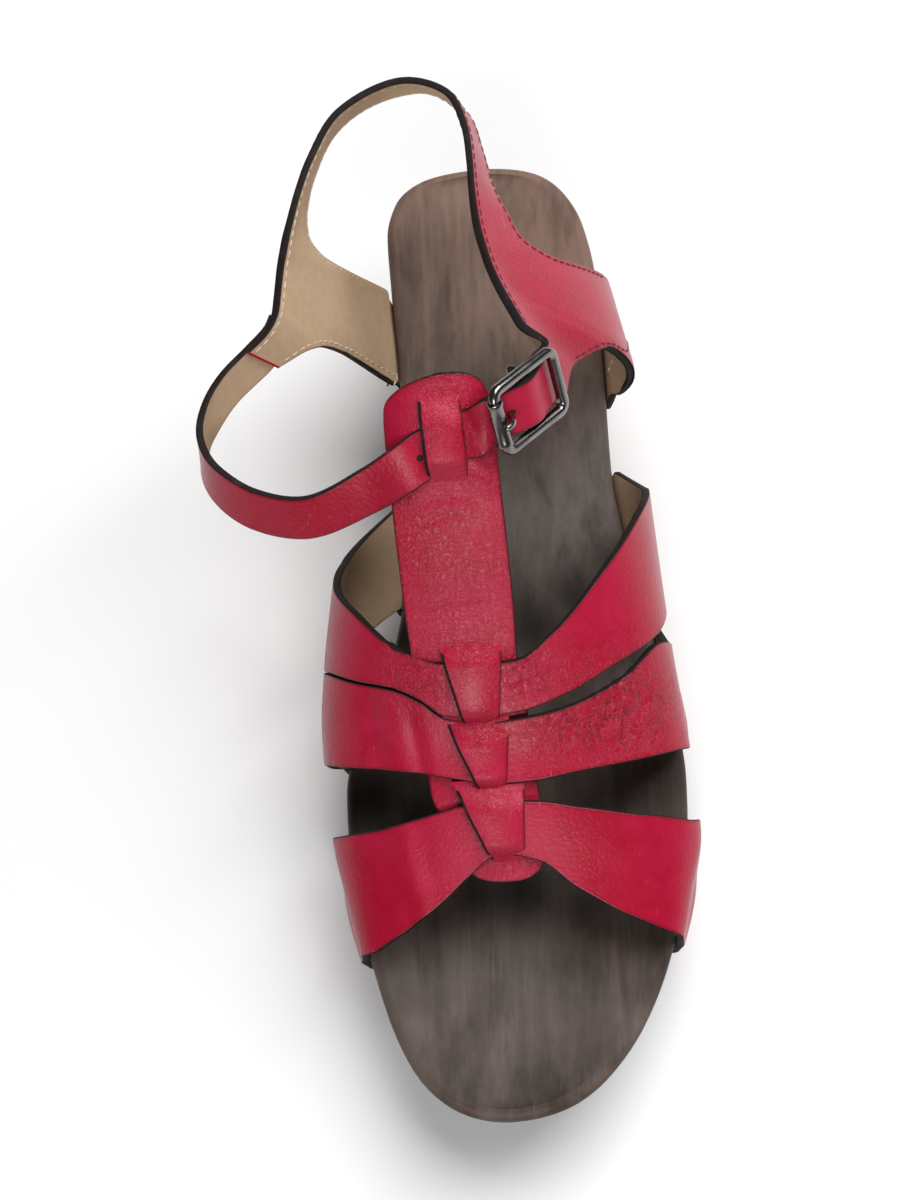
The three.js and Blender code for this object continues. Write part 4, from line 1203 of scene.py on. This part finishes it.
def ranged(tree, value, low, high, to_low=0.0, to_high=1.0):
    """Value brought smoothly from one range to another."""
    inputs = {"Value": value, "From Min": low, "From Max": high, "To Min": to_low, "To Max": to_high}
    return place(tree, "ShaderNodeMapRange", inputs, interpolation_type="SMOOTHSTEP").outputs[0]


def noise(tree, vector, scale, detail=4.0, roughness=0.55, distortion=0.0):
    inputs = {
        "Vector": vector, "Scale": scale, "Detail": detail, "Roughness": roughness, "Distortion": distortion,
    }
    return place(tree, "ShaderNodeTexNoise", inputs).outputs["Fac"]


def cells(tree, vector, scale, feature):
    inputs = {"Vector": vector, "Scale": scale, "Randomness": 1.0}
    return place(tree, "ShaderNodeTexVoronoi", inputs, feature=feature).outputs["Distance"]


def stretched(tree, vector, scale, turn=0):
    """Coordinates scaled on each axis and turned about Z."""
    inputs = {"Vector": vector, "Rotation": (0, 0, math.radians(turn)), "Scale": scale}
    return place(tree, "ShaderNodeMapping", inputs).outputs[0]


def effect(name, values, output):
    """New shader node group of a vector and named values: the tree, its inputs and its one output."""
    tree = bpy.data.node_groups.new(name, "ShaderNodeTree")
    tree.interface.new_socket("Vector", in_out="INPUT", socket_type="NodeSocketVector")
    for label in values:
        tree.interface.new_socket(label, in_out="INPUT", socket_type="NodeSocketFloat")
    tree.interface.new_socket(output, in_out="OUTPUT", socket_type="NodeSocketFloat")
    return tree, tree.nodes.new("NodeGroupInput").outputs, tree.nodes.new("NodeGroupOutput").inputs[0]


def effect_mottle():
    """Cloudy patches at a size: a mask from 0 to 1."""
    tree, given, out = effect("mottle", ("Scale", "Low", "High"), "Mask")
    cloud = noise(tree, given["Vector"], given["Scale"], 5.0, 0.6, 0.3)
    tree.links.new(ranged(tree, cloud, given["Low"], given["High"]), out)
    return tree


def effect_hide_grain():
    """Grain of a hide: fine cells, and crumpled pebbles where they are asked for, as a height."""
    tree, given, out = effect("hide_grain", ("Cells", "Crinkle"), "Height")
    where = given["Vector"]
    skin = cells(tree, where, given["Cells"], "SMOOTH_F1")
    pores = noise(tree, where, 2600.0, 3.0)
    fine = plus(tree, times(tree, skin, 0.2), times(tree, pores, 0.12))
    bend = place(tree, "ShaderNodeTexNoise", {"Vector": where, "Scale": 500.0, "Detail": 3.0})
    inputs = {0: bend.outputs["Color"], 1: (0.002, 0.002, 0.002)}
    bend = place(tree, "ShaderNodeVectorMath", inputs, operation="MULTIPLY")
    bent = place(tree, "ShaderNodeVectorMath", {0: where, 1: bend.outputs[0]}).outputs[0]
    flat = stretched(tree, bent, (0.6, 1.0, 1.0))
    groove = ranged(tree, cells(tree, flat, 640.0, "DISTANCE_TO_EDGE"), 0.0, 0.14)
    folds = noise(tree, flat, 620.0, 4.0, 0.65, 0.8)
    vein = off_middle(tree, noise(tree, bent, 330.0, 3.0, 0.6, 1.2))
    deep = plus(tree, times(tree, groove, 0.4), times(tree, folds, 0.9))
    deep = plus(tree, deep, ranged(tree, vein, 0.0, 0.04, 0.5, 0.0))
    tree.links.new(plus(tree, fine, times(tree, deep, given["Crinkle"])), out)
    return tree


def effect_scratches():
    """Thin light scratches in two directions: a mask."""
    tree, given, out = effect("scratches", ("Scale", "Amount"), "Mask")
    where = ranged(tree, noise(tree, given["Vector"], 42.0, 2.0), 0.5, 0.62)
    lines = []
    for turn in (24, -58):
        run = stretched(tree, given["Vector"], (1.0, 0.035, 1.0), turn)
        line = noise(tree, run, given["Scale"], 2.0, 0.5)
        lines.append(times(tree, ranged(tree, line, 0.66, 0.72), where))
    tree.links.new(times(tree, maths(tree, "MAXIMUM", *lines), given["Amount"]), out)
    return tree


def effect_cracks():
    """Thin wavy lines that run mostly along the shoe: a mask."""
    tree, given, out = effect("cracks", ("Scale",), "Mask")
    run = stretched(tree, given["Vector"], (1.0, 0.3, 0.6), -20)
    line = off_middle(tree, noise(tree, run, given["Scale"], 3.0, 0.6, 0.8))
    tree.links.new(ranged(tree, line, 0.0, 0.04, 1.0, 0.0), out)
    return tree


EFFECTS = {"mottle": effect_mottle, "hide_grain": effect_hide_grain, "scratches": effect_scratches,
           "cracks": effect_cracks}


def use_effect(tree, name, *values):
    """Puts a shared effect into a material, building it on first use; the values follow its inputs."""
    group = bpy.data.node_groups.get(name) or EFFECTS[name]()
    return place(tree, "ShaderNodeGroup", dict(enumerate(values)), node_tree=group).outputs[0]


FINISH_PREFIX = "sandal_"


def new_material(name):
    """Empty material with its Principled shader, and the object coordinates."""
    made = bpy.data.materials.new(FINISH_PREFIX + name)
    made.use_nodes = True
    tree = made.node_tree
    shader = tree.nodes["Principled BSDF"]
    where = place(tree, "ShaderNodeTexCoord").outputs["Object"]
    return made, tree, shader, where


def attribute(tree, name):
    return place(tree, "ShaderNodeAttribute", attribute_name=name).outputs["Fac"]


def bumped(tree, shader, height, strength, distance):
    inputs = {"Height": height, "Strength": strength, "Distance": distance}
    tree.links.new(place(tree, "ShaderNodeBump", inputs).outputs[0], shader.inputs["Normal"])


def red_leather():
    """Smooth red hide: cloudy colour, fine grain, crinkles with painted glints on their ridges, cracks,
    darker borders, a soft coat.
    """
    leather = settings("leather")
    made, tree, shader, where = new_material("red_leather")
    broad = use_effect(tree, "mottle", where, 26.0, 0.38, 0.62)
    small = use_effect(tree, "mottle", where, 210.0, 0.35, 0.7)
    tone = plus(tree, times(tree, broad, 0.65), times(tree, small, 0.35))
    base = blended(tree, tone, leather.red, leather.bright)
    rim = ranged(tree, attribute(tree, "rim"), 0.0, 1.3, 0.75, 0.0)
    base = blended(tree, rim, base, shaded(leather.red, 0.45))
    crinkle = attribute(tree, "crinkle")
    # Ridges of the crinkles: raised in the bump, and drawn a lighter red as painted glints
    ridge = times(tree, use_effect(tree, "cracks", where, 330.0), crinkle)
    base = blended(tree, times(tree, ridge, 0.07), base, leather.rubbed)
    crack = times(tree, use_effect(tree, "cracks", where, 300.0), attribute(tree, "crack"))
    base = blended(tree, times(tree, crack, 0.7), base, shaded(leather.red, 0.25))
    scratch = use_effect(tree, "scratches", where, 900.0, 0.28)
    base = blended(tree, scratch, base, leather.rubbed)
    rough = plus(tree, times(tree, broad, 0.1), leather.roughness - 0.05)
    rough = maths(tree, "SUBTRACT", rough, times(tree, crinkle, 0.12))
    fill(tree, shader, {"Base Color": base, "Roughness": rough, "Specular IOR Level": 0.28,
                        "Coat Weight": 0.08, "Coat Roughness": 0.3})
    grain = use_effect(tree, "hide_grain", where, 1150.0, crinkle)
    grain = plus(tree, grain, times(tree, ridge, 0.3))
    bumped(tree, shader, maths(tree, "SUBTRACT", grain, crack), 0.5, 0.0008)
    return made


def lining_hide():
    """Undyed lining: tan, a little soiled, with painted shade where the straps shade it, and a short nap."""
    leather = settings("leather")
    made, tree, shader, where = new_material("lining_hide")
    soil = use_effect(tree, "mottle", where, 34.0, 0.46, 0.78)
    base = blended(tree, times(tree, soil, 0.5), leather.lining, leather.stain)
    speck = use_effect(tree, "mottle", where, 380.0, 0.35, 0.75)
    base = blended(tree, times(tree, speck, 0.22), base, shaded(leather.lining, 0.6))
    rim = ranged(tree, attribute(tree, "rim"), 0.0, 1.2, 0.6, 0.0)
    base = blended(tree, rim, base, leather.stain)
    # Painted shade: the lining goes dark where the straps shade it
    base = blended(tree, attribute(tree, "stain"), base, shaded(leather.stain, 0.3))
    fill(tree, shader, {"Base Color": base, "Roughness": 0.82})
    bumped(tree, shader, use_effect(tree, "hide_grain", where, 1700.0, 0.12), 0.35, 0.0005)
    return made


def cut_edge():
    """Dark paint on the leather's cut edges, rubbed here and there."""
    leather = settings("leather")
    made, tree, shader, where = new_material("cut_edge")
    rub = use_effect(tree, "mottle", where, 260.0, 0.5, 0.8)
    base = blended(tree, times(tree, rub, 0.5), leather.edge, leather.rubbed_edge)
    fill(tree, shader, {"Base Color": base, "Roughness": 0.7, "Specular IOR Level": 0.15})
    bumped(tree, shader, noise(tree, where, 1500.0, 3.0), 0.5, 0.0004)
    return made


def stained_wood():
    """Stained wood with lengthwise grain: worn in patches, warm on the heel, with painted light on the waist
    of the footbed and painted shade under and beside the straps.
    """
    wood = settings("wood")
    made, tree, shader, where = new_material("stained_wood")
    wide = noise(tree, stretched(tree, where, (1.0, 0.08, 1.0)), 90.0, 4.0, 0.55, 0.6)
    streak = noise(tree, stretched(tree, where, (1.0, 0.045, 1.0)), 620.0, 4.0, 0.6, 0.3)
    band = plus(tree, times(tree, wide, 0.7), times(tree, streak, 0.3))
    cloud = use_effect(tree, "mottle", where, 34.0, 0.3, 0.7)
    tone = plus(tree, times(tree, ranged(tree, band, 0.36, 0.64), 0.5), times(tree, cloud, 0.5))
    base = blended(tree, tone, wood.dark, wood.light)
    # Painted light: the waist of the footbed, shaded by the straps, is lightened with a paler stain along the
    # grain
    thin = times(tree, attribute(tree, "faded"), ranged(tree, band, 0.3, 0.62, 0.55, 1.0))
    base = blended(tree, thin, base, wood.faded)
    along = place(tree, "ShaderNodeSeparateXYZ", {0: where}).outputs["Y"]
    heel = times(tree, ranged(tree, along, 0.03, 0.115), ranged(tree, band, 0.34, 0.66, 0.35, 1.0))
    patch = times(tree, attribute(tree, "wear"), ranged(tree, band, 0.36, 0.6, 0.3, 1.0))
    base = blended(tree, maths(tree, "MAXIMUM", times(tree, heel, 0.7), patch), base, wood.warm)
    rim = ranged(tree, attribute(tree, "rim"), 0.0, 1.6, 0.18, 0.0)
    rubbed = times(tree, rim, ranged(tree, noise(tree, where, 70.0, 3.0), 0.3, 0.65))
    base = blended(tree, rubbed, base, wood.warm)
    blot = use_effect(tree, "mottle", stretched(tree, where, (1.0, 0.3, 1.0)), 120.0, 0.5, 0.72)
    base = blended(tree, times(tree, blot, 0.5), base, wood.dark)
    base = blended(tree, use_effect(tree, "scratches", where, 520.0, 0.34), base, wood.scratch)
    # Painted shade: near black under and beside the straps, where their shade falls on the footbed
    base = blended(tree, attribute(tree, "soil"), base, shaded(wood.dark, 0.15))
    rough = plus(tree, times(tree, band, 0.2), wood.roughness - 0.1)
    fill(tree, shader, {"Base Color": base, "Roughness": rough, "Specular IOR Level": 0.1})
    bumped(tree, shader, band, 0.25, 0.0004)
    return made


def gunmetal():
    """Dark plated metal, polished, with faint smudges."""
    metal = settings("metal")
    made, tree, shader, where = new_material("gunmetal")
    smudge = use_effect(tree, "mottle", where, 180.0, 0.35, 0.75)
    base = blended(tree, smudge, metal.tint, shaded(metal.tint, 0.7))
    rough = plus(tree, times(tree, smudge, 0.14), metal.roughness)
    fill(tree, shader, {"Base Color": base, "Roughness": rough, "Metallic": 1.0})
    return made


def thread(name, tint):
    """Sewing thread, twisted."""
    made, tree, shader, where = new_material(name)
    twist = use_effect(tree, "mottle", where, 900.0, 0.3, 0.7)
    fill(tree, shader, {"Base Color": blended(tree, twist, tint, shaded(tint, 0.6)), "Roughness": 0.65})
    return made


def punched_hole():
    """Painted shade: the dark inside of a punched hole, laid on the strap as a spot."""
    made, tree, shader, _ = new_material("punched_hole")
    fill(tree, shader, {"Base Color": (*settings("leather").hole, 1), "Roughness": 0.9})
    return made


def floor_paper():
    """Pale paper floor."""
    made, tree, shader, _ = new_material("floor_paper")
    fill(tree, shader, {"Base Color": (*settings("stage").floor, 1), "Roughness": 0.9})
    return made


def finish_of(maker, *values):
    """A material made once and shared by every piece that asks for it."""
    name = values[0] if values else maker.__name__
    return bpy.data.materials.get(FINISH_PREFIX + name) or maker(*values)


def leather_piece(name, body, node):
    """Piece of leather with its three finishes: outside, lining and cut edge."""
    points, faces, kinds, fields = body
    finishes = [finish_of(red_leather), finish_of(lining_hide), finish_of(cut_edge)]
    return settle(make_piece(name, points, faces, finishes, kinds, fields), "red_leather", node)


# Geometry Nodes for stitches and the painted shade of holes


def vector_field(tree, name):
    """Vectors kept on the points of a guide."""
    made = place(tree, "GeometryNodeInputNamedAttribute", {"Name": name}, data_type="FLOAT_VECTOR")
    return made.outputs[0]


def repeat_tree(name, along_path):
    """Small rounded bodies on a path at a pitch, or on each point, standing on the leather."""
    tree = bpy.data.node_groups.new(name, "GeometryNodeTree")
    for label, kind in (
        ("Geometry", "NodeSocketGeometry"), ("Pitch", "NodeSocketFloat"),
        ("Size", "NodeSocketVector"), ("Finish", "NodeSocketMaterial"),
    ):
        tree.interface.new_socket(label, in_out="INPUT", socket_type=kind)
    tree.interface.new_socket("Geometry", in_out="OUTPUT", socket_type="NodeSocketGeometry")
    given = place(tree, "NodeGroupInput").outputs
    points = given["Geometry"]
    if along_path:
        path = place(tree, "GeometryNodeMeshToCurve", {"Mesh": points}).outputs[0]
        inputs = {"Curve": path, "Length": given["Pitch"]}
        points = place(tree, "GeometryNodeResampleCurve", inputs, mode="LENGTH").outputs[0]
        along = place(tree, "GeometryNodeInputTangent").outputs[0]
    else:
        along = vector_field(tree, "along")
    out = vector_field(tree, "out")
    turn = place(tree, "FunctionNodeAlignRotationToVector", {"Vector": along}, axis="X").outputs[0]
    inputs = {"Rotation": turn, "Vector": out}
    turn = place(tree, "FunctionNodeAlignRotationToVector", inputs, axis="Z", pivot_axis="X").outputs[0]
    inputs = {"Segments": 10, "Rings": 6, "Radius": 0.5}
    bead = place(tree, "GeometryNodeMeshUVSphere", inputs).outputs[0]
    inputs = {"Points": points, "Instance": bead, "Rotation": turn, "Scale": given["Size"]}
    spots = place(tree, "GeometryNodeInstanceOnPoints", inputs).outputs[0]
    real = place(tree, "GeometryNodeRealizeInstances", {"Geometry": spots}).outputs[0]
    smooth = place(tree, "GeometryNodeSetShadeSmooth", {"Geometry": real}).outputs[0]
    inputs = {"Geometry": smooth, "Material": given["Finish"]}
    dressed = place(tree, "GeometryNodeSetMaterial", inputs).outputs[0]
    tree.links.new(dressed, place(tree, "NodeGroupOutput").inputs[0])
    return tree


def repeat_piece(name, runs, pitch, size, finish, along_path=True):
    """Piece made of small bodies that follow runs of (points, out, along)."""
    points, edges, outs, alongs = [], [], [], []
    for run, out, along in runs:
        first = len(points)
        points += row_frame(run).tolist()
        outs += list(out)
        alongs += list(along)
        if along_path:
            edges += [(k, k + 1) for k in range(first, len(points) - 1)]
    guide_mesh = bpy.data.meshes.new(name + "_guide")
    guide_mesh.from_pydata(points, edges, [])
    for field, values in (("out", outs), ("along", alongs)):
        made = guide_mesh.attributes.new(field, "FLOAT_VECTOR", "POINT")
        made.data.foreach_set("vector", np.array(values, np.float32).ravel())
    guide = bpy.data.objects.new(name + "_guide", guide_mesh)
    bpy.context.scene.collection.objects.link(guide)
    tree_name = "seam_run" if along_path else "punched_spots"
    tree = bpy.data.node_groups.get(tree_name) or repeat_tree(tree_name, along_path)
    modifier = guide.modifiers.new("repeat", "NODES")
    modifier.node_group = tree
    values = {"Pitch": pitch, "Size": size, "Finish": finish}
    for item in tree.interface.items_tree:
        if item.in_out == "INPUT" and item.name in values:
            modifier[item.identifier] = values[item.name]
    evaluated = guide.evaluated_get(bpy.context.evaluated_depsgraph_get())
    mesh = bpy.data.meshes.new_from_object(evaluated)
    mesh.name = name
    guide.modifiers.clear()
    bpy.data.objects.remove(guide)
    piece = bpy.data.objects.new(name, mesh)
    bpy.context.scene.collection.objects.link(piece)
    return piece


def quarter_seam(at, low_edge, inset, face):
    """Run of a seam on the quarter at a distance from an edge: points on a face, normals and directions."""
    down = quarter_depth(at) if low_edge else 0 * at
    step = 0.02
    by_row = (quarter_point(at + step, down) - quarter_point(at - step, down)) / (2 * step)
    reach = -0.5 if low_edge else 0.5
    by_fall = (quarter_point(at, down + reach) - quarter_point(at, down)) / reach
    normal = unit(np.cross(by_row, by_fall))
    edge = np.gradient(quarter_point(at, down), axis=0)
    inward = unit(np.cross(normal, edge)) * (-inset if low_edge else inset)
    basis = np.stack([by_row, by_fall, normal], -1)
    shift = np.linalg.solve(basis, inward[..., None])[..., 0]
    run = quarter_point(at + shift[:, 0], down + shift[:, 1])
    out = normal * face
    return run + out * (tip_wall(at)[:, None] / 2 - SEAM_SINK), out, unit(np.gradient(run, axis=0))


# Operators, one for each piece or group of like pieces


class SANDAL_OT_sole(bpy.types.Operator):
    """Carve the wooden sole: dished footbed, rounded edge, arch, heel and toe spring"""

    bl_idname = "sandal.sole"
    bl_label = "Wooden sole"

    def execute(self, context):
        rings, rim = sole_rings()
        fields = {"rim": rim.ravel()}
        # Fields of the sole: its wear, and where shade and light are painted on it
        for name, spots in (("wear", WEAR), ("soil", PAINTED_SHADE), ("faded", PAINTED_LIGHT)):
            fields[name] = spots_at(rings, spots).ravel()
        points, faces = rings.reshape(-1, 3), ring_faces(len(rings), rings.shape[1])
        wood = [finish_of(stained_wood)]
        piece = make_piece("wooden_sole", points, faces, wood, fields=fields, smooth_angle=32)
        settle(piece, "stained_wood", "sole")
        return {"FINISHED"}


class SANDAL_OT_upper(bpy.types.Operator):
    """Cut the T-strap with its bars and thread the front, middle and rear cross straps through it"""

    bl_idname = "sandal.upper"
    bl_label = "T-strap and cross straps"

    def execute(self, context):
        grid = creased(t_grid(columns_of("t_strap")), 1, CREASES["t_strap"])
        leather_piece("t_strap", ribbon(grid, UPPER_WALL), "upper")
        for name in ("front", "middle", "rear"):
            grid = creased(strap_grid(name, columns_of("cross_strap")), -1, CREASES[name])
            leather_piece(name + "_strap", ribbon(grid, UPPER_WALL, face=-1), "upper")
        for bar in BARS:
            grid, height = bar_grid(bar, columns_of("bar"))
            body = ribbon(grid, UPPER_WALL, ends=False, free=height / BAR_FREE)
            leather_piece(bar["name"], body, "upper")
        return {"FINISHED"}


class SANDAL_OT_heel_quarter(bpy.types.Operator):
    """Form the heel quarter: both sides, the sling and the branch folded round the buckle's bar"""

    bl_idname = "sandal.heel_quarter"
    bl_label = "Heel quarter"

    def execute(self, context):
        grid, wall = quarter_grid(columns_of("quarter"))
        parts = [ribbon(grid, wall, ends=False, turned=1)]
        for span in HEM_SPANS:
            parts.append(ribbon(hem_grid(span), HEM_WALL))
        leather_piece("heel_quarter_leather", joined(parts), "heel_quarter")
        return {"FINISHED"}


class SANDAL_OT_ankle_strap(bpy.types.Operator):
    """Run the ankle strap from the inner quarter through the keeper bar to the buckle"""

    bl_idname = "sandal.ankle_strap"
    bl_label = "Ankle strap"

    def execute(self, context):
        grid, wall = ankle_grid(columns_of("ankle_strap"))
        leather_piece("ankle_strap_leather", ribbon(grid, wall, face=-1), "ankle_strap")
        return {"FINISHED"}


class SANDAL_OT_buckle(bpy.types.Operator):
    """Bend the buckle's frame, and set its roller and prong"""

    bl_idname = "sandal.buckle"
    bl_label = "Buckle"

    def execute(self, context):
        metal = [finish_of(gunmetal)]
        settle(make_piece("buckle_wire", *buckle_wire(), metal), "gunmetal", "buckle_frame")
        settle(make_piece("buckle_sleeve", *buckle_sleeve(), metal), "gunmetal", "buckle_roller")
        settle(make_piece("buckle_pin", *buckle_pin(), metal), "gunmetal", "buckle_prong")
        return {"FINISHED"}


class SANDAL_OT_stitching(bpy.types.Operator):
    """Sew the seams along the edges of the heel quarter, inside and outside"""

    bl_idname = "sandal.stitching"
    bl_label = "Stitching"

    def execute(self, context):
        sewing, leather = settings("stitch"), settings("leather")
        inset = sewing.inset / MM
        top = np.linspace(*TOP_SEAM, SEAM_STEPS["top"])
        size = (sewing.stitch, sewing.width, sewing.width * THREAD_FLATNESS)
        for name, face, tint in (
            ("outside_seams", 1, leather.thread), ("lining_seams", -1, leather.pale_thread),
        ):
            runs = [quarter_seam(top, False, inset, face)]
            for span in LOW_SEAMS:
                runs.append(quarter_seam(np.linspace(*span, SEAM_STEPS["low"]), True, inset, face))
            finish = finish_of(thread, name + "_thread", tuple(tint))
            piece = repeat_piece(name, runs, sewing.pitch, size, finish)
            settle(piece, "red_leather")
        return {"FINISHED"}


class SANDAL_OT_punch_holes(bpy.types.Operator):
    """Lay spots of painted shade on the ankle strap where its holes are"""

    bl_idname = "sandal.punch_holes"
    bl_label = "Punched holes"

    def execute(self, context):
        (top, low), count = ankle_edges()
        hole = settings("stitch").hole
        prong_row = count - len(THREADING) + 1.0
        runs = []
        for u in (SPARE_HOLE_ROW, prong_row):
            here = (top(u) + low(u)) / 2
            along = unit((top(u + 0.1) + low(u + 0.1)) / 2 - here)
            out = unit(np.cross(top(u) - low(u), along))
            out = out if out[2] > 0 else -out
            runs.append(([here + out * (ANKLE_WALL / 2)], [out], [along]))
        size = (hole, hole, HOLE_DEPTH * MM)
        piece = repeat_piece("strap_holes", runs, 1.0, size, finish_of(punched_hole), along_path=False)
        settle(piece, "red_leather")
        return {"FINISHED"}


class SANDAL_OT_stage(bpy.types.Operator):
    """Lay the floor, and set the lights and the camera"""

    bl_idname = "sandal.stage"
    bl_label = "Stage"

    # Camera: where it stands in the shoe's frame in mm, its right and up directions, and its lens
    EYE = (36.508, -229.742, 642.670)
    RIGHT = (0.99564, -0.01926, -0.09125)
    UP = (0.05129, 0.93025, 0.36332)
    LENS = 70.11
    SENSOR = 36.0
    FLOOR_SIZE = 8.0

    # Large soft lights and the point they face: places and sizes in metres, and the setting of their strength
    AIM = (0, 0, 0.06)
    LIGHTS = table("name x y z wide high strength", [
        ("key_light", 0.36, 0.44, 1.08, 1.0, 1.0, "key"),
        ("front_light", 0.0, -1.0, 0.78, 0.6, 0.4, "front"),
    ])

    def execute(self, context):
        stage = settings("stage")
        scene = context.scene
        bpy.ops.mesh.primitive_plane_add(size=self.FLOOR_SIZE)
        floor = context.object
        floor.name = "floor"
        floor.data.materials.append(finish_of(floor_paper))

        for row in self.LIGHTS:
            data = bpy.data.lights.new(row["name"], "AREA")
            data.shape = "RECTANGLE"
            data.size, data.size_y = row["wide"], row["high"]
            data.energy = getattr(stage, row["strength"])
            lamp = bpy.data.objects.new(row["name"], data)
            lamp.location = (row["x"], row["y"], row["z"])
            towards = Vector(self.AIM) - lamp.location
            lamp.rotation_euler = towards.to_track_quat("-Z", "Y").to_euler()
            scene.collection.objects.link(lamp)

        world = bpy.data.worlds.new("studio")
        world.use_nodes = True
        sky = world.node_tree.nodes["Background"]
        sky.inputs["Color"].default_value = (1, 1, 1, 1)
        sky.inputs["Strength"].default_value = stage.sky
        scene.world = world

        data = bpy.data.cameras.new("camera")
        data.lens = self.LENS
        data.sensor_width = self.SENSOR
        camera = bpy.data.objects.new("camera", data)
        right, up = Vector(self.RIGHT), Vector(self.UP)
        turn = Matrix((right, up, right.cross(up))).transposed()
        camera.matrix_world = Matrix.Translation(Vector(row_frame(self.EYE))) @ turn.to_4x4()
        scene.collection.objects.link(camera)
        scene.camera = camera
        scene.view_settings.view_transform = "Standard"
        return {"FINISHED"}


OPERATORS = (
    SANDAL_OT_sole,
    SANDAL_OT_upper,
    SANDAL_OT_heel_quarter,
    SANDAL_OT_ankle_strap,
    SANDAL_OT_buckle,
    SANDAL_OT_stitching,
    SANDAL_OT_punch_holes,
    SANDAL_OT_stage,
)


class SANDAL_PT_pieces(bpy.types.Panel):
    """Sidebar panel with every piece of the sandal"""

    bl_label = "Platform sandal"
    bl_idname = "SANDAL_PT_pieces"
    bl_space_type = "VIEW_3D"
    bl_region_type = "UI"
    bl_category = "Sandal"

    def draw(self, context):
        for operator in OPERATORS:
            self.layout.operator(operator.bl_idname)
        for name, kind in SETTINGS.items():
            box = self.layout.box()
            for field in kind.__annotations__:
                box.prop(getattr(context.scene, name), field)


def register():
    for kind in (*SETTINGS.values(), *OPERATORS, SANDAL_PT_pieces):
        bpy.utils.register_class(kind)
    for name, kind in SETTINGS.items():
        setattr(bpy.types.Scene, name, bpy.props.PointerProperty(type=kind))


def unregister():
    for name in SETTINGS:
        delattr(bpy.types.Scene, name)
    for kind in (SANDAL_PT_pieces, *reversed(OPERATORS), *reversed(SETTINGS.values())):
        bpy.utils.unregister_class(kind)


def main():
    register()
    bpy.ops.sandal.sole()
    bpy.ops.sandal.upper()
    bpy.ops.sandal.heel_quarter()
    bpy.ops.sandal.ankle_strap()
    bpy.ops.sandal.buckle()
    bpy.ops.sandal.stitching()
    bpy.ops.sandal.punch_holes()
    bpy.ops.sandal.stage()


if __name__ == "__main__":
    main()
